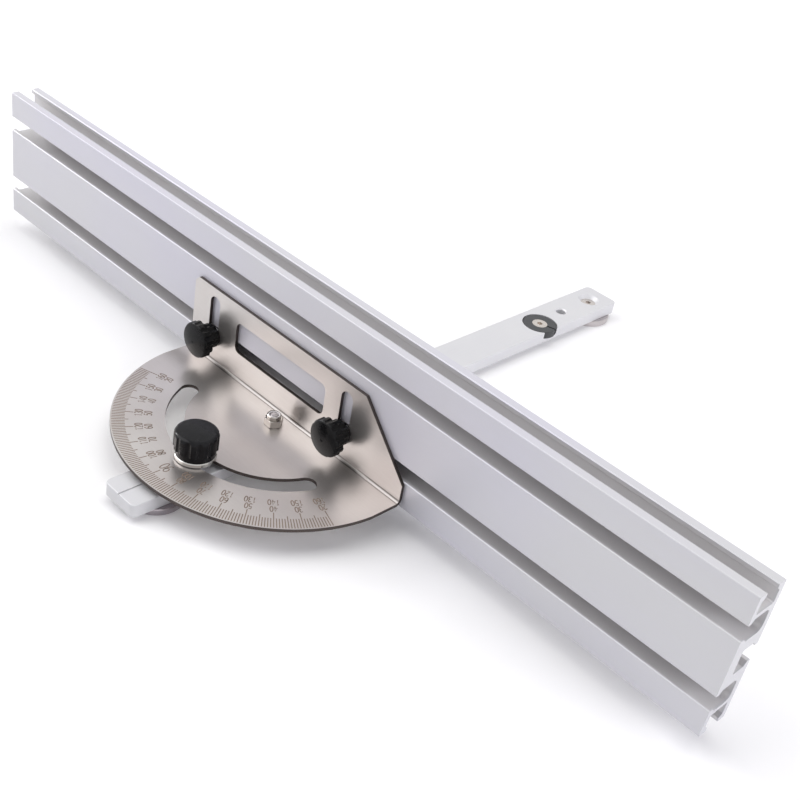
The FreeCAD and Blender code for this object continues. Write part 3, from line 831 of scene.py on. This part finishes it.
@dataclass(frozen=True)
class EngravedMark(Finish):
    """The matt brown of a burnt-in mark, uneven as a laser leaves it."""

    name: str
    colour: Colour
    cloud_scale: float = 900.0
    paler_factor: float = 1.35
    roughness: Span = (0.45, 0.7)
    metallic: float = 0.35

    def dress(self, surface: SurfaceGraph) -> None:
        """Fills the material.

        Args:
            surface: The material's graph.
        """
        cloud = soft_cloud(surface, self.cloud_scale)
        paler = toned(self.colour, self.paler_factor)
        surface.show({
            "Base Color": surface.blend(cloud, rgba(self.colour), rgba(paler)),
            "Roughness": surface.spread(cloud, UNIT, self.roughness),
            "Metallic": self.metallic,
        })


def give(node: bpy.types.Object, finish: Finish) -> None:
    """Dresses a carried-over solid in one finish.

    Args:
        node: The solid's object.
        finish: The finish that it takes.
    """
    material = finish.build()
    if not node.material_slots:
        node.data.materials.append(material)
    for place in node.material_slots:
        place.material = material
    LOG.info("dressed %s in %s", node.name, finish.name)


class GeometryTree:
    """A Geometry Nodes tree with named inputs, put on an object and turned into a plain mesh."""

    def __init__(self, name: str, inputs: dict[str, str]) -> None:
        """Starts the tree.

        Args:
            name: Its name.
            inputs: Socket type by input name.
        """
        self.tree = bpy.data.node_groups.new(name, "GeometryNodeTree")
        self.identifiers: dict[str, str] = {}
        interface = self.tree.interface
        interface.new_socket("Geometry", in_out="INPUT", socket_type="NodeSocketGeometry")
        for label, kind in inputs.items():
            socket = interface.new_socket(label, in_out="INPUT", socket_type=kind)
            self.identifiers[label] = socket.identifier
        interface.new_socket("Geometry", in_out="OUTPUT", socket_type="NodeSocketGeometry")
        self.graph = NodeGraph(self.tree)
        self.entry = self.graph.add("NodeGroupInput")

    def end(self, geometry: bpy.types.NodeSocket) -> None:
        """Ends the tree with realised instances and one material.

        Args:
            geometry: The geometry to put out.
        """
        real = self.graph.add("GeometryNodeRealizeInstances", {0: geometry})
        dressed = self.graph.add("GeometryNodeSetMaterial", {
            "Geometry": real.outputs[0],
            "Material": self.entry.outputs["Material"],
        })
        self.graph.add("NodeGroupOutput", {0: dressed.outputs[0]})

    def bake(self, base: bpy.types.Object, values: dict[str, Any], name: str) -> bpy.types.Object:
        """Runs the tree on an object and keeps the result as a plain mesh in a new object.

        Args:
            base: The object that carries the tree, which is removed.
            values: The tree's inputs by name.
            name: The name of the new object.

        Returns:
            The new object, at the origin.
        """
        modifier = base.modifiers.new(self.tree.name, "NODES")
        modifier.node_group = self.tree
        for label, value in values.items():
            modifier[self.identifiers[label]] = value
        bpy.context.view_layer.update()
        evaluated = base.evaluated_get(bpy.context.evaluated_depsgraph_get())
        mesh = bpy.data.meshes.new_from_object(evaluated)
        base.modifiers.remove(modifier)
        bpy.data.objects.remove(base)
        mesh.name = name
        return put_in_scene(mesh, name)


def put_in_scene(data: bpy.types.ID, name: str) -> bpy.types.Object:
    """Makes an object of some data and links it to the scene.

    Args:
        data: A mesh, curve, light or camera.
        name: The object's name.

    Returns:
        The object.
    """
    made = bpy.data.objects.new(name, data)
    bpy.context.scene.collection.objects.link(made)
    return made


def tick_ring_tree() -> GeometryTree:
    """Builds the tree that lays a fan of flat ticks round the upright axis.

    Every fifth tick reaches further in than the others, and every tenth further still.

    Returns:
        The tree, with the inputs Count, First Angle, Step, Inner Radius, Outer Radius, Fifth Reach,
        Tenth Reach, Width, Thickness, Level and Material.
    """
    measures = ("First Angle", "Step", "Inner Radius", "Outer Radius", "Fifth Reach",
                "Tenth Reach", "Width", "Thickness", "Level")
    made = GeometryTree("Tick ring", {
        "Count": "NodeSocketInt",
        **dict.fromkeys(measures, FLOAT),
        "Material": MATERIAL,
    })
    graph, inputs = made.graph, made.entry.outputs
    number = graph.add("GeometryNodeInputIndex").outputs[0]
    angle = graph.math("ADD", inputs["First Angle"], graph.math("MULTIPLY", number, inputs["Step"]))
    margin = 0.5
    fifth, tenth = (graph.math("COMPARE", graph.math("MODULO", number, every), 0.0, margin)
                    for every in (5.0, 10.0))
    reach = graph.weigh(fifth, inputs["Fifth Reach"], tenth, inputs["Tenth Reach"])
    inner = graph.math("SUBTRACT", inputs["Inner Radius"], reach)
    middle = graph.math("MULTIPLY", graph.math("ADD", inner, inputs["Outer Radius"]), 0.5)
    length = graph.math("SUBTRACT", inputs["Outer Radius"], inner)
    place = graph.add("ShaderNodeCombineXYZ", {
        0: graph.math("MULTIPLY", middle, graph.math("COSINE", angle)),
        1: graph.math("MULTIPLY", middle, graph.math("SINE", angle)),
        2: inputs["Level"],
    })
    points = graph.add("GeometryNodePoints", {
        "Count": inputs["Count"],
        "Position": place.outputs[0],
    })
    size = graph.add("ShaderNodeCombineXYZ", {
        0: length,
        1: inputs["Width"],
        2: inputs["Thickness"],
    })
    tick = graph.add("GeometryNodeMeshCube")
    turn = graph.add("ShaderNodeCombineXYZ", {2: angle})
    rotation = graph.add("FunctionNodeEulerToRotation", {0: turn.outputs[0]})
    fan = graph.add("GeometryNodeInstanceOnPoints", {
        "Points": points.outputs[0],
        "Instance": tick.outputs["Mesh"],
        "Rotation": rotation.outputs[0],
        "Scale": size.outputs[0],
    })
    made.end(fan.outputs[0])
    return made


def stroke_tree() -> GeometryTree:
    """Builds the tree that turns drawn lines into flat strokes of one width.

    Returns:
        The tree, with the inputs Width, Thickness and Material.
    """
    made = GeometryTree("Engraved strokes", {
        "Width": FLOAT, "Thickness": FLOAT, "Material": MATERIAL})
    graph, inputs = made.graph, made.entry.outputs
    upright = graph.add("GeometryNodeSetCurveNormal", {"Curve": inputs["Geometry"]}, mode="Z_UP")
    section = graph.add("GeometryNodeCurvePrimitiveQuadrilateral", {
        "Width": inputs["Width"],
        "Height": inputs["Thickness"],
    })
    strokes = graph.add("GeometryNodeCurveToMesh", {
        "Curve": upright.outputs[0],
        "Profile Curve": section.outputs[0],
        "Fill Caps": True,
    })
    made.end(strokes.outputs[0])
    return made


class StrokeDigits:
    """The ten digits as single lines in a cell from -0.5 to 0.5 across and -1 to 1 up."""

    @staticmethod
    def bow(centre: Flat, radii: Flat, start: float, end: float, steps: int = 14) -> list[Flat]:
        """A stretch of an ellipse.

        Args:
            centre: Its centre.
            radii: Its half width and half height.
            start: Where it starts, in degrees.
            end: Where it ends, in degrees.
            steps: How many straight pieces it has.

        Returns:
            Its points.
        """
        (x, y), (wide, high) = centre, radii
        turns = [math.radians(start + (end - start) * i / steps) for i in range(steps + 1)]
        return [(x + wide * math.cos(t), y + high * math.sin(t)) for t in turns]

    @classmethod
    def lines(cls, digit: str) -> list[list[Flat]]:
        """The lines of one digit.

        Args:
            digit: A digit from 0 to 9.

        Returns:
            One list of points for each line.
        """
        bow = cls.bow
        nine_bowl = bow((0.0, 0.42), (0.5, 0.58), 0, 360, 24)
        shapes = {
            "0": [bow((0.0, 0.0), (0.5, 1.0), 0, 360, 28)],
            "1": [[(-0.28, 0.62), (0.06, 1.0), (0.06, -1.0)]],
            "2": [bow((0.0, 0.45), (0.48, 0.55), 165, -35) + [(-0.5, -1.0), (0.5, -1.0)]],
            "3": [
                bow((0.0, 0.5), (0.43, 0.5), 150, -90),
                bow((0.0, -0.5), (0.5, 0.5), 90, -150),
            ],
            "4": [[(0.24, -1.0), (0.24, 1.0), (-0.5, -0.42), (0.5, -0.42)]],
            "5": [
                [(0.42, 1.0), (-0.36, 1.0), (-0.42, 0.14)]
                + bow((0.0, -0.36), (0.5, 0.64), 122, -145),
            ],
            "6": [
                [(-x, -y) for x, y in nine_bowl],
                [(-0.5, -0.42)] + bow((0.1, 0.0), (0.6, 1.0), 180, 70, 10),
            ],
            "7": [[(-0.5, 1.0), (0.5, 1.0), (-0.14, -1.0)]],
            "8": [
                bow((0.0, 0.5), (0.42, 0.5), -90, 270, 22),
                bow((0.0, -0.5), (0.5, 0.5), 90, 450, 22),
            ],
            "9": [nine_bowl, [(0.5, 0.42)] + bow((-0.1, 0.0), (0.6, 1.0), 0, -110, 10)],
        }
        return shapes[digit]


@dataclass
class ProtractorHead:
    """The folded sheet with its engraved scale of degrees."""

    plate_top: float
    rim_radius: float
    flange_back: float
    sheet: float = 1.5
    bend_radius: float = 1.4
    first_degree: int = 20
    last_degree: int = 160
    rim_margin: float = 0.6
    fine_inner: float = 60.5
    fifth_reach: float = 1.5
    tenth_reach: float = 1.8
    tick_width: float = 0.42
    stroke_width: float = 0.44
    mark_thickness: float = 0.04
    outer_row: float = 55.1
    inner_row: float = 51.2
    middle_row: float = 54.3
    middle_scale: float = 1.45
    digit_height: float = 3.1
    digit_width: float = 1.15
    digit_advance: float = 1.62
    bend_margin: float = 0.05
    numbered_step: int = 10
    square: int = 90
    mark: EngravedMark = EngravedMark("engraved brown", (0.19, 0.145, 0.115))

    def ticks(self, tree: GeometryTree) -> bpy.types.Object:
        """Lays the ticks on the plate, one for each degree.

        Args:
            tree: The tick ring's tree.

        Returns:
            The finished piece.
        """
        base = put_in_scene(bpy.data.meshes.new("tick_base"), "tick_base")
        return tree.bake(base, {
            "Count": self.last_degree - self.first_degree + 1,
            "First Angle": -math.radians(self.first_degree),
            "Step": -math.radians(1.0),
            "Inner Radius": self.fine_inner * MM,
            "Outer Radius": (self.rim_radius - self.rim_margin) * MM,
            "Fifth Reach": self.fifth_reach * MM,
            "Tenth Reach": self.tenth_reach * MM,
            "Width": self.tick_width * MM,
            "Thickness": self.mark_thickness * MM,
            "Level": self.plate_top * MM,
            "Material": self.mark.build(),
        }, "scale_ticks")

    def number_lines(self, number: int, degree: float, radius: float,
                     scale: float = 1.0) -> list[list[Vector]]:
        """The lines of one number, with its top towards the rim.

        Args:
            number: The number to write.
            degree: Its place on the scale.
            radius: Radius of the middle of its digits.
            scale: Its size against the other numbers.

        Returns:
            The lines' points on the plate.
        """
        text = str(number)
        angle = -math.radians(degree)
        outwards = Vector((math.cos(angle), math.sin(angle), 0.0))
        rightwards = Vector((math.sin(angle), -math.cos(angle), 0.0))
        start = -(len(text) - 1) / 2 * self.digit_advance * scale
        level = Vector((0.0, 0.0, self.plate_top))
        placed = []
        for i, digit in enumerate(text):
            middle = start + i * self.digit_advance * scale
            for line in StrokeDigits.lines(digit):
                points = []
                for across, up in line:
                    offset = rightwards * (middle + across * self.digit_width * scale)
                    height = radius + up * self.digit_height * scale / 2
                    points.append((level + offset + outwards * height) * MM)
                placed.append(points)
        return placed

    def numerals(self, tree: GeometryTree) -> bpy.types.Object:
        """Writes both rows of numbers.

        Args:
            tree: The stroke's tree.

        Returns:
            The finished piece.
        """
        curve = bpy.data.curves.new("scale_lines", "CURVE")
        curve.dimensions = "3D"
        lines = []
        for degree in range(self.first_degree, self.last_degree + 1, self.numbered_step):
            if degree == self.square:
                lines += self.number_lines(degree, degree, self.middle_row, self.middle_scale)
                continue
            lines += self.number_lines(degree, degree, self.outer_row)
            lines += self.number_lines(2 * self.square - degree, degree, self.inner_row)
        for points in lines:
            spline = curve.splines.new("POLY")
            spline.points.add(len(points) - 1)
            for point, place in zip(spline.points, points):
                point.co = (*place, 1.0)
        base = put_in_scene(curve, "scale_lines")
        return tree.bake(base, {
            "Width": self.stroke_width * MM,
            "Thickness": self.mark_thickness * MM,
            "Material": self.mark.build(),
        }, "scale_numerals")

    def build(self, nodes: dict[str, bpy.types.Object]) -> list[bpy.types.Object]:
        """Dresses the sheet and engraves its scale.

        Args:
            nodes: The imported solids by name.

        Returns:
            The scale's pieces.
        """
        # The sheet's shade colour carries a painted soft reflection, and its dark edge colour
        # painted shade and dark reflection.
        give(nodes["protractor_head"], BrushedStainless(
            "head brushed stainless",
            colour=(0.62, 0.595, 0.575),
            shade=(0.46, 0.415, 0.40),
            edge=(0.09, 0.075, 0.07),
            bend_top=(self.plate_top + self.bend_radius + self.bend_margin) * MM,
            bend_front=(self.flange_back - self.sheet - self.bend_radius
                        - self.bend_margin) * MM,
        ))
        pieces = [self.ticks(tick_ring_tree()), self.numerals(stroke_tree())]
        for piece in pieces:
            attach(piece, Body.HEAD.value)
        return pieces


@dataclass
class MiterBar:
    """The bar with its discs and screws, all carried-over solids."""

    expansion: Flat
    near_disc_y: float = -59.0
    far_disc_y: float = 213.5

    def build(self, nodes: dict[str, bpy.types.Object]) -> None:
        """Dresses the bar and what is screwed to it.

        Args:
            nodes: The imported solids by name.
        """
        give(nodes["miter_bar"], AnodisedAluminium(
            "bar clear anodised",
            colour=(0.67, 0.67, 0.675),
            shade=(0.63, 0.63, 0.65),
            stretch=(5200.0, 120.0, 5200.0),
        ))
        steel = (0.64, 0.60, 0.575)
        discs = (
            # The near disc's darker tone is painted shade under the bar; both discs are the same
            # steel.
            ("near", self.near_disc_y, (0.44, 0.40, 0.43)),
            ("far", self.far_disc_y, (0.60, 0.56, 0.565)),
        )
        for side, y, tone in discs:
            centre = (0.0, y, 0.0)
            give(nodes[side + "_t_disc"], TurnedMetal(side + " disc steel", tone, centre))
            give(nodes[side + "_t_disc_screw"], TurnedMetal(side + " screw steel", steel, centre))
        give(nodes["expansion_disc"], MouldedPolymer(
            "expansion disc polymer", (0.033, 0.034, 0.036), 0.5))
        give(nodes["expansion_screw"], TurnedMetal(
            "expansion screw steel", (0.66, 0.61, 0.57), (*self.expansion, 0.0)))


@dataclass
class PivotSet:
    """The pivot screw with its lock nut, and the spacers under the plate."""

    screw_pitch: float = 0.7

    def build(self, nodes: dict[str, bpy.types.Object]) -> None:
        """Dresses the pivot's pieces.

        Args:
            nodes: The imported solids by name.
        """
        origin = (0.0, 0.0, 0.0)
        give(nodes["pivot_screw"], ThreadedMetal(
            "pivot screw steel", (0.62, 0.59, 0.60), origin, Axis.UPRIGHT, self.screw_pitch))
        give(nodes["pivot_nut"], TurnedMetal(
            "pivot nut bright plate", (0.44, 0.41, 0.385), origin, 0.07))
        give(nodes["pivot_nut_ring"], MouldedPolymer("nut ring nylon", (0.62, 0.60, 0.60), 0.4))
        spacer = TurnedMetal("spacer steel", (0.58, 0.57, 0.58), origin)
        give(nodes["pivot_spacer"], spacer)
        give(nodes["clamp_spacer"], spacer)


BRASS: Colour = (0.75, 0.55, 0.26)
CLAMP_BLACK = MouldedPolymer("clamp knob gloss black", (0.005, 0.005, 0.006), 0.16, 0.17)
KNOB_BLACK = MouldedPolymer("fence knob satin black", (0.004, 0.004, 0.0045), 0.2, 0.15)


@dataclass
class ClampKnob:
    """The clamp knob with its insert, stud and washer."""

    axis_y: float
    thread_pitch: float = 1.0

    def build(self, nodes: dict[str, bpy.types.Object]) -> None:
        """Dresses the clamp's pieces.

        Args:
            nodes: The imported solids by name.
        """
        centre = (0.0, self.axis_y, 0.0)
        give(nodes["clamp_knob"], CLAMP_BLACK)
        give(nodes["clamp_knob_insert"], TurnedMetal("clamp insert brass", BRASS, centre))
        give(nodes["clamp_washer"], TurnedMetal(
            "clamp washer steel", (0.56, 0.55, 0.53), centre, 0.18))
        give(nodes["clamp_stud"], ThreadedMetal(
            "clamp stud steel", (0.6, 0.59, 0.6), centre, Axis.UPRIGHT, self.thread_pitch))


@dataclass
class FenceKnob:
    """One fence knob with its insert and its sliding bolt."""

    side: str
    axis_x: float
    axis_z: float
    thread_pitch: float = 1.0

    def build(self, nodes: dict[str, bpy.types.Object]) -> None:
        """Dresses the knob, insert and bolt.

        Args:
            nodes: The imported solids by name.
        """
        centre = (self.axis_x, 0.0, self.axis_z)
        give(nodes[self.side + "_knob"], KNOB_BLACK)
        give(nodes[self.side + "_knob_insert"], TurnedMetal(
            self.side + " insert brass", BRASS, centre))
        give(nodes[self.side + "_t_bolt"], ThreadedMetal(
            self.side + " bolt steel", (0.58, 0.57, 0.57), centre, Axis.ALONG_Y, self.thread_pitch))


@dataclass
class Fence:
    """The anodised extrusion, between two corners in metres."""

    low: Vector
    high: Vector

    def build(self, nodes: dict[str, bpy.types.Object]) -> None:
        """Dresses the fence.

        Args:
            nodes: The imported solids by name.
        """
        give(nodes["fence_extrusion"], AnodisedAluminium(
            "fence clear anodised",
            colour=(0.605, 0.595, 0.675),
            shade=(0.63, 0.635, 0.62),
            stretch=(60.0, 4200.0, 4200.0),
            cloud_scale=6.0,
            # The slots' paler, neutral colour is painted bounce light.
            groove=(0.668, 0.658, 0.661),
            middle=tuple((self.low + self.high) / 2),
            reach=tuple((self.high - self.low) / 2),
        ))


@dataclass(frozen=True)
class StudioFloor(Finish):
    """A pale floor that shows as white to the camera and keeps the object's shadow."""

    name: str = "studio floor"
    albedo: float = 0.93
    glow: float = 0.08
    far_glow: float = 0.85
    lit_reach: float = 0.5
    far_reach: float = 1.6
    cloud_scale: float = 2.0
    shade_factor: float = 0.98

    def build(self) -> bpy.types.Material:
        """Makes the floor's material from a diffuse part and a part that only straight views see.

        That part grows outwards, where the lamps reach less.

        Returns:
            The material.
        """
        material = bpy.data.materials.new(self.name)
        graph = NodeGraph(cleared_tree(material))
        place = graph.add("ShaderNodeTexCoord").outputs["Object"]
        cloud = CLOUD.use(graph, {"Place": place, "Scale": self.cloud_scale})
        pale = (self.albedo,) * 3
        shaded = toned(pale, self.shade_factor)
        diffuse = graph.add("ShaderNodeBsdfDiffuse", {
            "Color": graph.blend(cloud.outputs["Mask"], rgba(pale), rgba(shaded)),
        })
        away = graph.vector_math("LENGTH", place, output="Value")
        reach = graph.spread(away, (self.lit_reach, self.far_reach), (self.glow, self.far_glow))
        glow = graph.add("ShaderNodeEmission", {
            "Strength": graph.math("MULTIPLY", graph.straight_views(), reach),
        })
        both = graph.add("ShaderNodeAddShader", {0: diffuse.outputs[0], 1: glow.outputs[0]})
        graph.add("ShaderNodeOutputMaterial", {0: both.outputs[0]})
        return material


@dataclass(frozen=True)
class SoftLight:
    """One large soft lamp, with its place and width in metres and its power in watts."""

    name: str
    place: Point
    width: float
    power: float
    colour: Colour = (1.0, 1.0, 1.0)
    mirrored: bool = False

    def build(self, target: Vector) -> None:
        """Hangs the lamp and turns it to the object.

        Args:
            target: What it points at, in metres.
        """
        light = bpy.data.lights.new(self.name, "AREA")
        light.shape = "SQUARE"
        light.size = self.width
        light.energy = self.power
        light.color = self.colour
        lamp = put_in_scene(light, self.name)
        lamp.visible_glossy = self.mirrored
        lamp.location = Vector(self.place)
        lamp.rotation_mode = "QUATERNION"
        lamp.rotation_quaternion = (target - lamp.location).to_track_quat("-Z", "Y")


@dataclass(frozen=True)
class PhotoCamera:
    """The camera that took the photograph, as fitted to it.

    Its place and its sensor are in millimetres, its angles in degrees, its focal length, image and
    axis in pixels, and its clipping in metres.
    """

    place: Point = (305.36, -300.42, 314.09)
    azimuth: float = -43.02
    elevation: float = 35.74
    roll: float = 8.87
    focal_px: float = 1275.61
    image_px: float = 800.0
    axis_px: Flat = (315.96, 436.92)
    sensor: float = 36.0
    clip: Span = (0.01, 50.0)

    def build(self) -> bpy.types.Object:
        """Makes the camera.

        Returns:
            The camera's object.
        """
        azimuth, elevation, roll = map(math.radians, (self.azimuth, self.elevation, self.roll))
        ahead = Vector((
            math.sin(azimuth) * math.cos(elevation),
            math.cos(azimuth) * math.cos(elevation),
            -math.sin(elevation),
        ))
        level_right = ahead.cross(Vector((0, 0, 1))).normalized()
        level_up = level_right.cross(ahead)
        right = level_right * math.cos(roll) + level_up * math.sin(roll)
        up = level_up * math.cos(roll) - level_right * math.sin(roll)
        data = bpy.data.cameras.new("photo_camera")
        data.sensor_width = self.sensor
        data.lens = self.focal_px / self.image_px * self.sensor
        data.shift_x = (self.image_px / 2 - self.axis_px[0]) / self.image_px
        data.shift_y = (self.axis_px[1] - self.image_px / 2) / self.image_px
        data.clip_start, data.clip_end = self.clip
        camera = put_in_scene(data, "photo_camera")
        turn = Matrix((right, up, -ahead)).transposed().to_4x4()
        camera.matrix_world = Matrix.Translation(Vector(self.place) * MM) @ turn
        bpy.context.scene.camera = camera
        return camera


@dataclass
class Studio:
    """The floor, the white surround, the lamps and the camera, in metres."""

    floor_level: float
    floor_width: float = 6.0
    surround: float = 0.3
    tint: Colour = (0.93, 0.92, 1.0)

    def floor(self) -> None:
        """Lays the floor under the object."""
        half, level = self.floor_width / 2, self.floor_level
        corners = [(x * half, y * half, level) for x, y in ((-1, -1), (1, -1), (1, 1), (-1, 1))]
        mesh = bpy.data.meshes.new("studio_floor")
        mesh.from_pydata(corners, [], [(0, 1, 2, 3)])
        mesh.materials.append(StudioFloor().build())
        put_in_scene(mesh, "studio_floor")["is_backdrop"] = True

    def world(self) -> None:
        """Surrounds the scene with a soft tint that straight and mirrored views see as white."""
        world = bpy.data.worlds.new("studio_surround")
        bpy.context.scene.world = world
        graph = NodeGraph(cleared_tree(world))
        seen = graph.straight_views()
        strength = graph.spread(seen, UNIT, (self.surround, 1.0))
        tint = graph.blend(seen, rgba(self.tint), rgba((1.0, 1.0, 1.0)))
        background = graph.add("ShaderNodeBackground", {"Color": tint, "Strength": strength})
        graph.add("ShaderNodeOutputWorld", {0: background.outputs[0]})

    def build(self, target: Vector) -> None:
        """Sets up the whole studio.

        Args:
            target: The middle of the object, in metres.
        """
        self.floor()
        self.world()
        lamps = [
            SoftLight("key_lamp", (-1.1, -0.75, 1.35), 1.9, 22.0, (0.995, 0.985, 1.0),
                      mirrored=True),
            SoftLight("side_lamp", (1.7, 0.65, 0.8), 1.2, 23.3, (0.95, 0.94, 1.0)),
            SoftLight("top_lamp", (0.0, 0.35, 1.8), 1.3, 12.0, (1.0, 0.995, 0.955)),
            SoftLight("strip_lamp", (-1.5, -0.45, 0.6), 0.3, 5.0, mirrored=True),
        ]
        for lamp in lamps:
            lamp.build(target)
        PhotoCamera().build()
        bpy.context.scene.view_settings.view_transform = "Standard"


def joint_place(joints: Sequence[dict[str, Any]], name: str) -> Vector:
    """The place of a hinge in millimetres.

    Args:
        joints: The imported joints.
        name: The hinge's name.

    Returns:
        A point on its axis.
    """
    joint = next(j for j in joints if j["name"] == name)
    return Vector(joint["pos_m"]) / MM


def main() -> None:
    """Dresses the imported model, piece by piece, and sets up the studio."""
    logging.basicConfig(level=logging.INFO, format="%(name)s: %(message)s")
    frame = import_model()
    solid_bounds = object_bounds()
    nodes, joints = frame["nodes"], frame["joints"]
    plate_top = (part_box("pivot_nut")[0].z / MM) - NUT_SEAT_GAP
    head_low, head_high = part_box("protractor_head")
    clamp = joint_place(joints, "clamp_knob_turn")
    left = joint_place(joints, "left_knob_turn")
    right = joint_place(joints, "right_knob_turn")
    expansion = joint_place(joints, "expansion_screw_turn")

    MiterBar(expansion=(expansion.x, expansion.y)).build(nodes)
    PivotSet().build(nodes)
    head = ProtractorHead(plate_top, rim_radius=-head_low.y / MM, flange_back=head_high.y / MM)
    for piece in head.build(nodes):
        LOG.info("made %s with %d faces", piece.name, len(piece.data.polygons))
    ClampKnob(axis_y=clamp.y).build(nodes)
    FenceKnob("left", left.x, left.z).build(nodes)
    FenceKnob("right", right.x, right.z).build(nodes)
    Fence(*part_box("fence_extrusion")).build(nodes)

    low, high = solid_bounds
    Studio(floor_level=low.z).build((low + high) / 2)


if __name__ == "__main__":
    main()
